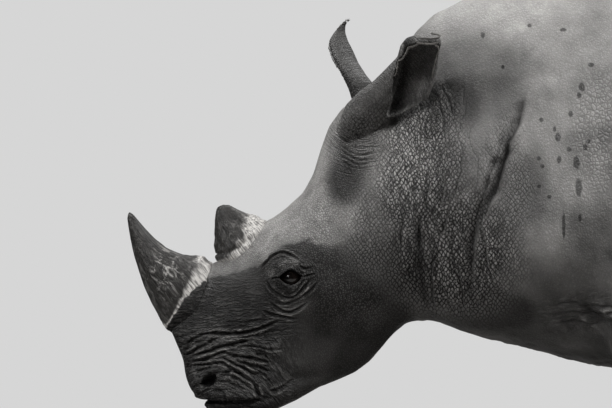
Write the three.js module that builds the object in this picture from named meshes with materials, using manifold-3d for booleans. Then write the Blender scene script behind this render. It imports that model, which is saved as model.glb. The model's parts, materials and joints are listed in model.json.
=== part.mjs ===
// A white rhinoceros (Ceratotherium simum) standing with its head lowered, at life size.
// Millimetres; +Z is up, -X is forward and -Y is the animal's left. The body is modelled as
// lofts whose sections are measured on the animal, and the limbs, ears, horns and tail are set
// into it with a thin gap, so that each part is a solid of its own. The soles rest on z = 0.
import * as THREE from "three";
import { LoftGeometry } from "three/addons/geometries/LoftGeometry.js";
import { mergeVertices } from "three/addons/utils/BufferGeometryUtils.js";
import Module from "manifold-3d";

const wasm = await Module();
wasm.setup();

// ---------------------------------------------------------------- driving dimensions

const GAP = 0.3; // clearance between parts that touch
const FAR = 6000; // reach of a cutting block, larger than the animal
const FOOT_REACH = 600; // reach of a block that cuts a nail, larger than a foot
const BODY_SIDES = 36; // corners of a section of the head, neck and trunk
const LEG_SIDES = 20;

// Sections from the lip to the poll. Each row is the mid-line point above (x, z), the
// mid-line point below (x, z), half the width, the share of the height, from below, where
// the section is widest, and the squareness of the upper and the lower half: 2 is an ellipse.
const HEAD_SECTIONS = [
  [-1465, 488, -1345, 487, 76, 0.5, 2.8, 2.8],
  [-1498, 498, -1316, 484, 108, 0.5, 2.9, 2.9],
  [-1514, 524, -1288, 487, 122, 0.52, 2.9, 2.7],
  [-1524, 558, -1258, 492, 126, 0.54, 2.8, 2.5],
  [-1537, 605, -1224, 502, 121, 0.55, 2.6, 2.3],
  [-1560, 655, -1178, 515, 113, 0.56, 2.5, 2.2],
  [-1578, 700, -1130, 530, 112, 0.56, 2.4, 2.0],
  [-1552, 758, -1085, 548, 116, 0.57, 2.3, 1.9],
  [-1514, 818, -1040, 568, 125, 0.6, 2.3, 1.8],
  [-1466, 872, -998, 599, 137, 0.63, 2.1, 1.7],
  [-1415, 903, -967, 634, 150, 0.65, 2.0, 1.7],
  [-1362, 943, -943, 663, 162, 0.67, 2.0, 1.7],
  [-1303, 1000, -922, 686, 171, 0.67, 2.1, 1.75],
  [-1248, 1038, -906, 699, 177, 0.66, 2.2, 1.8],
  [-1192, 1089, -895, 706, 181, 0.64, 2.2, 1.85],
  [-1162, 1143, -888, 710, 183, 0.63, 2.2, 1.85],
  [-1140, 1216, -879, 713, 183, 0.61, 2.1, 1.9],
  [-1116, 1282, -869, 715, 183, 0.58, 2.05, 2.0],
  [-1078, 1334, -857, 717, 184, 0.54, 2.0, 2.0],
];

// Sections of the neck, from behind the ears to the shoulders, in the same terms.
const NECK_SECTIONS = [
  [-1030, 1367, -842, 717, 186, 0.5, 1.8, 2.1],
  [-975, 1408, -823, 716, 192, 0.48, 1.6, 2.1],
  [-911, 1480, -802, 713, 199, 0.46, 1.5, 2.1],
  [-860, 1563, -778, 706, 216, 0.45, 1.5, 2.1],
  [-817, 1607, -748, 694, 245, 0.44, 1.5, 2.15],
  [-737, 1647, -700, 676, 280, 0.43, 1.55, 2.2],
  [-620, 1697, -610, 654, 324, 0.42, 1.6, 2.2],
  [-475, 1726, -490, 625, 362, 0.42, 1.7, 2.2],
];

// Sections of the trunk, from the shoulders to the buttocks.
const TRUNK_SECTIONS = [
  [-330, 1729, -350, 588, 398, 0.42, 1.75, 2.2],
  [-100, 1692, -100, 556, 450, 0.42, 1.85, 2.2],
  [120, 1636, 120, 534, 495, 0.42, 1.95, 2.2],
  [350, 1604, 350, 518, 525, 0.42, 2.0, 2.2],
  [600, 1620, 600, 512, 528, 0.42, 2.0, 2.2],
  [850, 1655, 850, 540, 508, 0.43, 2.0, 2.2],
  [1060, 1654, 1060, 592, 482, 0.45, 2.05, 2.1],
  [1260, 1614, 1260, 665, 456, 0.48, 2.1, 2.0],
  [1400, 1558, 1400, 760, 414, 0.5, 2.1, 2.0],
  [1500, 1492, 1500, 850, 362, 0.52, 2.1, 2.0],
  [1578, 1404, 1578, 930, 295, 0.54, 2.05, 2.0],
  [1628, 1300, 1628, 1000, 212, 0.55, 2.0, 2.0],
  [1652, 1215, 1652, 1050, 120, 0.5, 2.0, 2.0],
];
const TRUNK_STEPS = 2; // rings from one section of the trunk to the next

// Swellings and hollows of the body on both sides: centre, reach along x, y and z, and how far
// the surface moves out there.
const BODY_RELIEF = {
  brow: { at: [-1262, 165, 912], reach: [105, 90, 52], lift: 15 },
  orbit: { at: [-1226, 160, 846], reach: [95, 90, 75], lift: 7 },
  temple: { at: [-1140, 170, 1030], reach: [90, 110, 120], lift: -13 },
  cheek: { at: [-1085, 180, 770], reach: [170, 120, 150], lift: 12 },
  jawAngle: { at: [-985, 170, 735], reach: [90, 130, 90], lift: 12 },
  noseHollow: { at: [-1400, 130, 735], reach: [130, 90, 95], lift: -9 },
  nostrilWing: { at: [-1497, 110, 535], reach: [38, 60, 46], lift: 9 },
  lipRoll: { at: [-1400, 125, 506], reach: [110, 70, 26], lift: 8 },
  earRoot: { at: [-1030, 130, 1270], reach: [110, 120, 110], lift: 16 },
  behindEar: { at: [-870, 160, 1370], reach: [160, 120, 180], lift: -34 },
  shoulderPoint: { at: [-520, 330, 930], reach: [210, 260, 240], lift: 24 },
  behindShoulder: { at: [80, 470, 1080], reach: [190, 260, 360], lift: -20 },
  hipBone: { at: [960, 340, 1500], reach: [240, 230, 190], lift: 28 },
  flankHollow: { at: [770, 470, 1300], reach: [220, 260, 240], lift: -26 },
  spineSide: { at: [300, 190, 1600], reach: [700, 110, 120], lift: -10 },
};

// Rows of a leg from the body down to the sole: height, front edge, back edge, distance of the
// middle from the mid-plane, half the width, and squareness.
const FORELEG_ROWS = [
  [1330, -385, -110, 250, 70, 2.0],
  [1220, -430, -30, 280, 105, 2.0],
  [1090, -440, 45, 292, 122, 2.1],
  [960, -425, 88, 294, 130, 2.2],
  [860, -400, 88, 290, 134, 2.3],
  [760, -362, 60, 281, 135, 2.3],
  [670, -325, 18, 268, 134, 2.3],
  [560, -300, -24, 256, 127, 2.3],
  [460, -292, -62, 250, 117, 2.4],
  [385, -303, -74, 250, 116, 2.5],
  [300, -296, -92, 250, 103, 2.3],
  [200, -298, -96, 250, 103, 2.2],
  [125, -318, -88, 250, 119, 2.2],
  [60, -342, -74, 250, 137, 2.3],
  [14, -350, -70, 250, 141, 2.3],
  [0, -344, -76, 250, 135, 2.3],
];
const HINDLEG_ROWS = [
  [1460, 1110, 1470, 170, 90, 2.0],
  [1380, 1050, 1560, 200, 135, 2.0],
  [1270, 985, 1620, 228, 168, 2.05],
  [1140, 940, 1652, 252, 182, 2.1],
  [1010, 915, 1660, 264, 182, 2.1],
  [890, 912, 1648, 268, 176, 2.2],
  [780, 938, 1618, 266, 164, 2.2],
  [680, 990, 1572, 260, 150, 2.2],
  [590, 1066, 1530, 252, 130, 2.2],
  [490, 1176, 1522, 244, 111, 2.3],
  [415, 1238, 1518, 240, 102, 2.4],
  [320, 1281, 1492, 238, 93, 2.3],
  [210, 1288, 1478, 238, 94, 2.2],
  [125, 1266, 1482, 238, 108, 2.2],
  [58, 1244, 1490, 238, 124, 2.3],
  [14, 1238, 1494, 238, 127, 2.3],
  [0, 1244, 1488, 238, 121, 2.3],
];
const FORELEG_CUTS = { top: 900, knee: 430, ankle: 150 }; // planes that part a leg
const HINDLEG_CUTS = { top: 1010, knee: 500, ankle: 150 };
const STRIDE_TOP = 1000; // height above which a leg isn't moved by its stride
const LEGS = [
  { name: "fore_left", side: -1, rows: FORELEG_ROWS, cuts: FORELEG_CUTS, stride: -10 },
  { name: "fore_right", side: 1, rows: FORELEG_ROWS, cuts: FORELEG_CUTS, stride: 105 },
  { name: "hind_left", side: -1, rows: HINDLEG_ROWS, cuts: HINDLEG_CUTS, stride: 70 },
  { name: "hind_right", side: 1, rows: HINDLEG_ROWS, cuts: HINDLEG_CUTS, stride: -105 },
];

// The three hoof nails of a foot: bearing from straight ahead towards the outer side.
const NAIL_DEPTH = 9; // how far a nail stands out
const NAIL_LIFT = 1.5; // height of its lower edge above the sole
const NAIL_BAND = 140; // height of the band that the nails are cut from
const NAILS = [
  { name: "inner", bearing: -62, width: 78, height: 62 },
  { name: "middle", bearing: 0, width: 112, height: 76 },
  { name: "outer", bearing: 62, width: 82, height: 64 },
];

// Sections of the lower lip and chin: x, top, bottom and half the width.
const CHIN_SECTIONS = [
  [-1472, 486, 470, 56],
  [-1464, 494, 452, 80],
  [-1442, 502, 439, 94],
  [-1398, 514, 433, 101],
  [-1340, 532, 438, 102],
  [-1280, 556, 456, 97],
  [-1210, 584, 488, 82],
  [-1140, 605, 528, 58],
  [-1085, 620, 572, 32],
];
const CHIN_SQUARENESS = 2.7;
const CHIN_SIDES = 20;
const MOUTH_HEIGHT = 487; // height of the line of the mouth
const MOUTH_CORNER = [-1318, 487];
const JAW_LINE = [[-1235, 556], [-1130, 640], [-975, 652]]; // from the corner to the jaw angle

// Horn sections: front edge (x, z), back edge (x, z) and half the width.
const FRONT_HORN_SECTIONS = [
  [-1538, 690, -1434, 838, 76],
  [-1584, 690, -1452, 876, 88],
  [-1606, 722, -1478, 904, 91],
  [-1628, 765, -1516, 908, 85],
  [-1648, 808, -1552, 914, 75],
  [-1666, 856, -1590, 930, 61],
  [-1679, 896, -1620, 955, 48],
  [-1689, 938, -1648, 984, 36],
  [-1696, 976, -1668, 1007, 26],
  [-1701, 1012, -1684, 1026, 15],
  [-1700, 1031, -1693, 1033, 6],
];
const REAR_HORN_SECTIONS = [
  [-1412, 858, -1296, 915, 74],
  [-1442, 892, -1288, 1000, 82],
  [-1449, 936, -1318, 1018, 70],
  [-1449, 984, -1356, 1030, 54],
  [-1447, 1022, -1385, 1043, 42],
  [-1441, 1044, -1402, 1052, 29],
  [-1430, 1052, -1414, 1054, 14],
];
const HORN_SIDES = 20;

// Eyes: the ball, the lids round it and the slit between them.
const EYE = { at: [-1226, 133, 846], radius: 32, lidRadius: 45, slitLong: 66, slitHigh: 34 };
const SLIT_TILT = 4; // degrees, outer corner higher
const BALL_SIDES = 18;
const NOSTRIL_SIDES = 14;
const NOSTRIL = { at: [-1461, 122, 548], size: [35, 46, 18], tilt: 20 }; // degrees, front lower

// Ears: the axis, the way the cup opens, and sections along the axis as height, half width,
// half depth, a shift towards the opening and a shift across. The left one is turned back with
// its tip folded over, the right one is pricked forward.
const EAR_ROOT = [-1010, 101, 1262];
const EAR_LENGTH = 350;
const EAR_SIDES = 20;
const CUP_SIDES = 16;
const LEFT_EAR = {
  side: -1,
  axis: [0.4, -0.54, 0.78],
  opening: [0.36, -0.93, 0],
  tipTilt: 0.24,
  shell: [
    [-25, 50, 46, 0, -34],
    [17, 54, 46, 0, -36],
    [64, 66, 46, 0, -28],
    [118, 82, 46, 0, 4],
    [168, 87, 46, 2, 33],
    [222, 76, 44, 5, 38],
    [278, 60, 39, 9, 36],
    [326, 57, 33, 16, 21],
    [356, 52, 26, 21, 18],
    [377, 34, 13, 25, 21],
  ],
  cup: [
    [98, 12, 16, 34, 24],
    [120, 33, 34, 22, 34],
    [148, 50, 44, 15, 46],
    [200, 60, 48, 14, 41],
    [247, 57, 46, 17, 35],
    [300, 50, 41, 20, 27],
    [340, 47, 31, 27, 21],
    [364, 33, 14, 32, 20],
  ],
};
const RIGHT_EAR = {
  side: 1,
  axis: [-0.27, 0.34, 0.91],
  opening: [-0.86, 0.5, 0],
  tipTilt: 0,
  shell: [
    [-25, 50, 46, -20, 0],
    [40, 50, 44, -30, 0],
    [85, 53, 40, -37, 0],
    [130, 60, 36, -34, 0],
    [182, 68, 27, -20, 0],
    [233, 70, 24, -8, 0],
    [278, 61, 24, -5, 0],
    [305, 46, 18, -8, 0],
    [327, 26, 11, -19, 0],
    [340, 14, 9, -31, 0],
    [349, 6, 6, -49, 0],
  ],
  cup: [
    [92, 12, 14, -6, 0],
    [115, 31, 28, -17, 0],
    [150, 50, 32, -17, 0],
    [190, 59, 27, -8, 0],
    [233, 61, 25, 3, 0],
    [274, 52, 25, 6, 0],
    [302, 37, 19, 3, 0],
    [324, 18, 11, -9, 0],
    [336, 7, 7, -21, 0],
  ],
};

// The tail: points of its middle line (x, z) with the radius there, and the bristles at its end.
const TAIL_POINTS = [
  [1500, 1392, 66],
  [1590, 1372, 62],
  [1658, 1306, 50],
  [1694, 1200, 39],
  [1704, 1070, 31],
  [1702, 930, 25],
  [1698, 820, 20],
];
const TAIL_SIDES = 14;
const TAIL_STEPS = 2;
const TAIL_CUT = 880; // height where the bristled end begins
const TAIL_FLATNESS = 0.72; // front to back, against side to side
const LOCK_COUNT = 12;
const LOCK_LENGTH = 205;
const LOCK_WIDTH = 17;
const LOCK_THICKNESS = 7;
const LOCK_STEPS = 4;
const LOCK_START = [-12, 50]; // height above the tail's tip where a lock leaves it
const LOCK_ROOT = 9; // distance of the lock's root from the tail's middle line
const LOCK_SPREAD = [9, 18]; // how far its tip swings out further

// Planes that part the head, neck and trunk: a point (x, z) above and one below.
const HEAD_CUT = { above: [-930, 1455], below: [-872, 700] };
const NECK_CUT = { above: [-473, 1740], below: [-717, 640] };

// Colours.
const HIDE = { color: 0x6f6c69, roughness: 0.85, metalness: 0 };
const HORN = { color: 0x4a4541, roughness: 0.7, metalness: 0 };
const NAIL = { color: 0x5a544d, roughness: 0.6, metalness: 0 };
const EYEBALL = { color: 0x120d0a, roughness: 0.15, metalness: 0 };
const BRISTLE = { color: 0x1d1b19, roughness: 0.8, metalness: 0 };

// ---------------------------------------------------------------- solids and cuts

// A closed manifold-3d solid of a three.js geometry, facing out.
function solidOf(geometry) {
  const bare = new THREE.BufferGeometry();
  bare.setAttribute("position", geometry.getAttribute("position"));
  bare.setIndex(geometry.getIndex());
  const merged = mergeVertices(bare, 1e-3);
  const triangles = Uint32Array.from(merged.getIndex().array);
  if (signedVolume(merged) < 0) {
    for (let i = 0; i < triangles.length; i += 3) {
      [triangles[i], triangles[i + 1]] = [triangles[i + 1], triangles[i]];
    }
  }
  const points = Float32Array.from(merged.getAttribute("position").array);
  const mesh = new wasm.Mesh({ numProp: 3, vertProperties: points, triVerts: triangles });
  return new wasm.Manifold(mesh);
}

function signedVolume(geometry) {
  const position = geometry.getAttribute("position");
  const index = geometry.getIndex();
  const [a, b, c] = [new THREE.Vector3(), new THREE.Vector3(), new THREE.Vector3()];
  let total = 0;
  for (let i = 0; i < index.count; i += 3) {
    a.fromBufferAttribute(position, index.getX(i));
    b.fromBufferAttribute(position, index.getX(i + 1));
    c.fromBufferAttribute(position, index.getX(i + 2));
    total += a.dot(b.cross(c)) / 6;
  }
  return total;
}

// The largest body of a solid, so that a loose scrap left by a cut is dropped.
function largest(solid) {
  const bodies = solid.decompose();
  return bodies.reduce((best, body) => (body.volume() > best.volume() ? body : best));
}

// What lies on the side of a plane that its normal points to.
function keepSide(solid, point, normal) {
  const block = new THREE.BoxGeometry(FAR, FAR, FAR);
  block.translate(0, 0, FAR / 2);
  const turn = new THREE.Quaternion().setFromUnitVectors(new THREE.Vector3(0, 0, 1), normal);
  block.applyQuaternion(turn);
  block.translate(point.x, point.y, point.z);
  return solid.intersect(solidOf(block));
}

// The two parts of a solid on the two sides of a plane, with the gap between them: first
// the part that the normal points away from.
function partAtPlane(solid, point, normal) {
  const step = normal.clone().multiplyScalar(GAP / 2);
  const behind = keepSide(solid, point.clone().sub(step), normal.clone().negate());
  const ahead = keepSide(solid, point.clone().add(step), normal);
  return [behind, ahead];
}

function partAtHeight(solid, height) {
  return partAtPlane(solid, new THREE.Vector3(0, 0, height), new THREE.Vector3(0, 0, 1));
}

// The plane through two points of the mid-plane, facing back.
function partAtLine(solid, cut) {
  const above = new THREE.Vector3(cut.above[0], 0, cut.above[1]);
  const below = new THREE.Vector3(cut.below[0], 0, cut.below[1]);
  const along = above.clone().sub(below).normalize();
  const normal = new THREE.Vector3(0, 1, 0).cross(along).normalize();
  return partAtPlane(solid, below, normal);
}

// A node of the scene graph made of a solid.
function meshOf(name, solid, finish) {
  const { vertProperties, triVerts } = largest(solid).getMesh();
  const geometry = new THREE.BufferGeometry();
  geometry.setAttribute("position", new THREE.BufferAttribute(vertProperties, 3));
  geometry.setIndex(new THREE.BufferAttribute(triVerts, 1));
  geometry.computeVertexNormals();
  const mesh = new THREE.Mesh(geometry, new THREE.MeshStandardMaterial(finish));
  mesh.name = name;
  return mesh;
}

// ---------------------------------------------------------------- lofts

// Rows with further rows set smoothly between them.
function densify(rows, steps) {
  const size = rows[0].length;
  const places = rows.map((_, i) => i);
  const curve = new THREE.CubicInterpolant(places, rows.flat(), size);
  const count = (rows.length - 1) * steps;
  return Array.from({ length: count + 1 }, (_, k) => Array.from(curve.evaluate(k / steps)));
}

function power(value, squareness) {
  return Math.sign(value) * Math.abs(value) ** (2 / squareness);
}

// A closed loft. Its rings are turned to run anticlockwise, seen from the end.
function loftOf(rings) {
  const along = centreOf(rings[1]).sub(centreOf(rings[0]));
  const ordered = areaOf(rings[0]).dot(along) > 0 ? rings : rings.map((ring) => ring.toReversed());
  return solidOf(new LoftGeometry(ordered, { capStart: true, capEnd: true }));
}

// The area of a ring as a vector along its normal.
function areaOf(ring) {
  return ring.reduce((sum, point, i) => {
    const next = ring[(i + 1) % ring.length];
    return sum.add(point.clone().cross(next));
  }, new THREE.Vector3());
}

function centreOf(ring) {
  const total = ring.reduce((sum, point) => sum.add(point), new THREE.Vector3());
  return total.divideScalar(ring.length);
}

// The ring of a section that stands across the mid-plane.
function bodyRing(row, sides) {
  const [topX, topZ, lowX, lowZ, half, widest, upper, lower] = row;
  const top = new THREE.Vector3(topX, 0, topZ);
  const low = new THREE.Vector3(lowX, 0, lowZ);
  const middle = low.clone().lerp(top, widest);
  return Array.from({ length: sides }, (_, i) => {
    const angle = (2 * Math.PI * i) / sides;
    const above = Math.sin(angle) >= 0;
    const squareness = above ? upper : lower;
    const rise = Math.abs(power(Math.sin(angle), squareness));
    const point = middle.clone().lerp(above ? top : low, rise);
    point.y = half * power(Math.cos(angle), squareness);
    return lifted(point, middle);
  });
}

// A point moved away from the middle of its section by the relief there.
function lifted(point, middle) {
  let lift = 0;
  for (const { at, reach, lift: height } of Object.values(BODY_RELIEF)) {
    const dx = (point.x - at[0]) / reach[0];
    const dy = (Math.abs(point.y) - at[1]) / reach[1];
    const dz = (point.z - at[2]) / reach[2];
    const near = 1 - (dx * dx + dy * dy + dz * dz);
    if (near > 0) {
      lift += height * near * near;
    }
  }
  const outward = point.clone().sub(middle).normalize();
  return point.addScaledVector(outward, lift);
}

function bodySolid() {
  const trunk = densify([NECK_SECTIONS.at(-1), ...TRUNK_SECTIONS], TRUNK_STEPS).slice(1);
  const rows = [...HEAD_SECTIONS, ...NECK_SECTIONS, ...trunk];
  return loftOf(rows.map((row) => bodyRing(row, BODY_SIDES)));
}

// An upright ring across the chin.
function chinRing([x, top, bottom, half]) {
  const middle = (top + bottom) / 2;
  return Array.from({ length: CHIN_SIDES }, (_, i) => {
    const angle = (2 * Math.PI * i) / CHIN_SIDES;
    const y = half * power(Math.cos(angle), CHIN_SQUARENESS);
    const z = middle + ((top - bottom) / 2) * power(Math.sin(angle), CHIN_SQUARENESS);
    return new THREE.Vector3(x, y, z);
  });
}

// The level ring of a leg at one of its rows, grown by a margin.
function legRing([z, front, back, across, half, squareness], leg, margin) {
  const stride = leg.stride * THREE.MathUtils.clamp(1 - z / STRIDE_TOP, 0, 1);
  const middle = (front + back) / 2 + stride;
  return Array.from({ length: LEG_SIDES }, (_, i) => {
    const angle = (2 * Math.PI * i) / LEG_SIDES;
    const x = middle + ((back - front) / 2 + margin) * power(Math.cos(angle), squareness);
    const y = leg.side * across + (half + margin) * power(Math.sin(angle), squareness);
    return new THREE.Vector3(x, y, z);
  });
}

function legSolid(leg, margin) {
  return loftOf(leg.rows.map((row) => legRing(row, leg, margin)));
}

// The ring of a horn across its middle line.
function hornRing([frontX, frontZ, backX, backZ, half], margin) {
  const front = new THREE.Vector3(frontX, 0, frontZ);
  const back = new THREE.Vector3(backX, 0, backZ);
  const middle = front.clone().add(back).divideScalar(2);
  const reach = front.clone().sub(middle);
  reach.setLength(reach.length() + margin);
  return Array.from({ length: HORN_SIDES }, (_, i) => {
    const angle = (2 * Math.PI * i) / HORN_SIDES;
    const point = middle.clone().addScaledVector(reach, Math.cos(angle));
    point.y = (half + margin) * Math.sin(angle);
    return point;
  });
}

// A horn; with a margin, the room for its root, which ends further in by the same margin.
function hornSolid(sections, margin) {
  const rings = sections.map((row) => hornRing(row, margin));
  return loftOf(sunk(rings, margin));
}

// Rings whose first one is moved outwards along the loft by a margin.
function sunk(rings, margin) {
  const shift = centreOf(rings[0]).sub(centreOf(rings[1])).setLength(margin);
  return [rings[0].map((point) => point.clone().add(shift)), ...rings.slice(1)];
}

// ---------------------------------------------------------------- ears

// The frame of an ear: its axis, the way its cup opens and the way across it.
function earFrame(ear) {
  const axis = new THREE.Vector3(...ear.axis).normalize();
  const opening = new THREE.Vector3(...ear.opening);
  opening.addScaledVector(axis, -opening.dot(axis)).normalize();
  const across = axis.clone().cross(opening);
  return { axis, opening, across };
}

function earLoft(ear, rows, sides, margin) {
  const { axis, opening, across } = earFrame(ear);
  const root = new THREE.Vector3(EAR_ROOT[0], ear.side * EAR_ROOT[1], EAR_ROOT[2]);
  const rings = rows.map(([height, half, depth, shift, sway]) => {
    const middle = root.clone().addScaledVector(axis, height);
    middle.addScaledVector(opening, shift).addScaledVector(across, sway);
    return Array.from({ length: sides }, (_, i) => {
      const angle = (2 * Math.PI * i) / sides;
      const aside = (half + margin) * Math.sin(angle);
      const point = middle.clone().addScaledVector(across, aside);
      point.addScaledVector(opening, (depth + margin) * Math.cos(angle));
      return point.addScaledVector(axis, ear.tipTilt * aside * (height / EAR_LENGTH) ** 2);
    });
  });
  return loftOf(sunk(rings, margin));
}

function earSolid(ear) {
  const shell = earLoft(ear, ear.shell, EAR_SIDES, 0);
  return shell.subtract(earLoft(ear, ear.cup, CUP_SIDES, 0));
}

// ---------------------------------------------------------------- eyes, nostrils and mouth

function ellipsoidOf(size, detail) {
  const geometry = new THREE.SphereGeometry(1, detail, detail / 2);
  geometry.scale(...size);
  return geometry;
}

function eyeCentre(side) {
  return new THREE.Vector3(EYE.at[0], side * EYE.at[1], EYE.at[2]);
}

function ballAt(centre, radius, detail) {
  const ball = ellipsoidOf([radius, radius, radius], detail);
  ball.translate(centre.x, centre.y, centre.z);
  return solidOf(ball);
}

// The lens between the lids, run out sideways from the middle of the eye.
function slitSolid(side) {
  const long = EYE.slitLong / 2;
  const high = EYE.slitHigh / 2;
  const lens = new THREE.Shape();
  lens.moveTo(-long, 0);
  lens.quadraticCurveTo(-long / 4, 2 * high, long, 0);
  lens.quadraticCurveTo(0, -2 * high, -long, 0);
  const geometry = new THREE.ExtrudeGeometry(lens, {
    depth: 2 * EYE.lidRadius,
    bevelEnabled: false,
    curveSegments: 4,
  });
  geometry.rotateZ(THREE.MathUtils.degToRad(SLIT_TILT));
  geometry.rotateX(Math.PI / 2);
  if (side > 0) {
    geometry.scale(1, -1, 1);
  }
  const centre = eyeCentre(side);
  geometry.translate(centre.x, centre.y, centre.z);
  return solidOf(geometry);
}

function nostrilSolid(side) {
  const geometry = ellipsoidOf(NOSTRIL.size, NOSTRIL_SIDES);
  geometry.rotateY(THREE.MathUtils.degToRad(-NOSTRIL.tilt));
  geometry.translate(NOSTRIL.at[0], side * NOSTRIL.at[1], NOSTRIL.at[2]);
  return solidOf(geometry);
}

// The block that holds the lower jaw, raised by a margin: below the line of the mouth, then
// up to the angle of the jaw.
function jawBlock(margin) {
  const outline = new THREE.Shape();
  const [cornerX, cornerZ] = MOUTH_CORNER;
  outline.moveTo(cornerX - FAR, MOUTH_HEIGHT + margin);
  outline.lineTo(cornerX, cornerZ + margin);
  for (const [x, z] of JAW_LINE) {
    outline.lineTo(x, z + margin);
  }
  outline.lineTo(JAW_LINE.at(-1)[0] + margin, -FAR);
  outline.lineTo(cornerX - FAR, -FAR);
  const geometry = new THREE.ExtrudeGeometry(outline, { depth: FAR, bevelEnabled: false });
  geometry.rotateX(Math.PI / 2);
  geometry.translate(0, FAR / 2, 0);
  return solidOf(geometry);
}

// ---------------------------------------------------------------- head

function wholeHead(front) {
  let head = front.add(loftOf(CHIN_SECTIONS.map(chinRing)));
  for (const side of [-1, 1]) {
    head = head.add(ballAt(eyeCentre(side), EYE.lidRadius, BALL_SIDES));
    head = head.subtract(ballAt(eyeCentre(side), EYE.radius + GAP, BALL_SIDES));
    head = head.subtract(slitSolid(side));
    head = head.subtract(nostrilSolid(side));
  }
  for (const ear of [LEFT_EAR, RIGHT_EAR]) {
    head = head.subtract(earLoft(ear, ear.shell, EAR_SIDES, GAP));
  }
  head = head.subtract(hornSolid(FRONT_HORN_SECTIONS, GAP));
  return head.subtract(hornSolid(REAR_HORN_SECTIONS, GAP));
}

function headMeshes(front) {
  const whole = wholeHead(front);
  return [
    meshOf("head", whole.subtract(jawBlock(GAP)), HIDE),
    meshOf("lower_jaw", whole.intersect(jawBlock(0)), HIDE),
    meshOf("ear_left", earSolid(LEFT_EAR), HIDE),
    meshOf("ear_right", earSolid(RIGHT_EAR), HIDE),
    meshOf("eye_left", ballAt(eyeCentre(-1), EYE.radius, BALL_SIDES), EYEBALL),
    meshOf("eye_right", ballAt(eyeCentre(1), EYE.radius, BALL_SIDES), EYEBALL),
    meshOf("horn_front", hornSolid(FRONT_HORN_SECTIONS, 0), HORN),
    meshOf("horn_rear", hornSolid(REAR_HORN_SECTIONS, 0), HORN),
  ];
}

// ---------------------------------------------------------------- legs and nails

// The outline of a nail: straight sides, drawn in a little, under a rounded top.
function nailOutline({ width, height }) {
  const foot = width / 2;
  const shoulder = foot * 0.94;
  const corner = foot * 0.8;
  const bend = height * 0.45;
  const outline = new THREE.Shape();
  outline.moveTo(-foot, 0);
  outline.lineTo(foot, 0);
  outline.lineTo(shoulder, bend);
  outline.quadraticCurveTo(corner, height, 0, height);
  outline.quadraticCurveTo(-corner, height, -shoulder, bend);
  return outline;
}

// The block of one nail, standing out from the middle of the foot along its bearing.
function nailBlock(nail, leg, centre) {
  const geometry = new THREE.ExtrudeGeometry(nailOutline(nail), {
    depth: FOOT_REACH,
    bevelEnabled: false,
    curveSegments: 5,
  });
  geometry.rotateX(Math.PI / 2);
  geometry.rotateZ(-Math.PI / 2);
  geometry.rotateZ(-leg.side * THREE.MathUtils.degToRad(nail.bearing));
  geometry.translate(centre.x, centre.y, 0);
  return solidOf(geometry);
}

// The wall that the nails are cut from: a band round the foot.
function nailWall(leg) {
  const rows = leg.rows.filter(([z]) => z < NAIL_BAND);
  const band = (margin) => loftOf(rows.map((row) => legRing(row, leg, margin)));
  const low = new THREE.Vector3(0, 0, NAIL_LIFT);
  return keepSide(band(NAIL_DEPTH), low, new THREE.Vector3(0, 0, 1)).subtract(band(GAP));
}

function legMeshes(leg) {
  const whole = keepSide(
    legSolid(leg, 0),
    new THREE.Vector3(0, 0, leg.cuts.top),
    new THREE.Vector3(0, 0, -1),
  );
  const [below, upper] = partAtHeight(whole, leg.cuts.knee);
  const [foot, lower] = partAtHeight(below, leg.cuts.ankle);
  const sole = centreOf(legRing(leg.rows.at(-1), leg, 0));
  const wall = nailWall(leg);
  const nails = NAILS.map((nail) => {
    const solid = wall.intersect(nailBlock(nail, leg, sole));
    return meshOf(`nail_${leg.name}_${nail.name}`, solid, NAIL);
  });
  return [
    meshOf(`leg_${leg.name}_upper`, upper, HIDE),
    meshOf(`leg_${leg.name}_lower`, lower, HIDE),
    meshOf(`foot_${leg.name}`, foot, HIDE),
    ...nails,
  ];
}

// ---------------------------------------------------------------- tail

function tailRing([x, z, radius], next, previous, margin) {
  const along = new THREE.Vector3(next[0] - previous[0], 0, next[1] - previous[1]).normalize();
  const across = new THREE.Vector3(0, 1, 0);
  const outward = along.clone().cross(across);
  return Array.from({ length: TAIL_SIDES }, (_, i) => {
    const angle = (2 * Math.PI * i) / TAIL_SIDES;
    const point = new THREE.Vector3(x, 0, z);
    point.addScaledVector(across, (radius + margin) * Math.cos(angle));
    return point.addScaledVector(outward, (radius * TAIL_FLATNESS + margin) * Math.sin(angle));
  });
}

function tailSolid(margin) {
  const rows = densify(TAIL_POINTS, TAIL_STEPS);
  const rings = rows.map((row, i) => {
    const next = rows[Math.min(i + 1, rows.length - 1)];
    const previous = rows[Math.max(i - 1, 0)];
    return tailRing(row, next, previous, margin);
  });
  return loftOf(sunk(rings, margin));
}

// One flat, tapered lock of bristles that leaves the tail and hangs down.
function lockSolid(index, random) {
  const turn = (2 * Math.PI * index) / LOCK_COUNT;
  const [tipX, tipZ] = TAIL_POINTS.at(-1);
  const startZ = tipZ + THREE.MathUtils.lerp(...LOCK_START, random());
  const length = LOCK_LENGTH * THREE.MathUtils.lerp(0.7, 1, random());
  const spread = THREE.MathUtils.lerp(...LOCK_SPREAD, random());
  const rings = Array.from({ length: LOCK_STEPS + 1 }, (_, k) => {
    const t = k / LOCK_STEPS;
    const out = LOCK_ROOT + spread * (0.6 * Math.sin(Math.PI * t) + 0.7 * t);
    const middle = new THREE.Vector3(out, 0, startZ - length * t);
    return lockRing(middle, t).map((point) => {
      point.applyAxisAngle(new THREE.Vector3(0, 0, 1), turn);
      point.x += tipX;
      return point;
    });
  });
  return loftOf(rings);
}

// The four corners of a lock across its length, at a share of it from the root.
function lockRing(middle, share) {
  const width = (LOCK_WIDTH / 2) * (1 - 0.86 * share ** 1.5);
  const thick = (LOCK_THICKNESS / 2) * (1 - 0.7 * share);
  const corners = [[1, 0], [0, 1], [-1, 0], [0, -1]];
  return corners.map(([side, face]) => {
    return middle.clone().add(new THREE.Vector3(face * thick, side * width, 0));
  });
}

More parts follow.
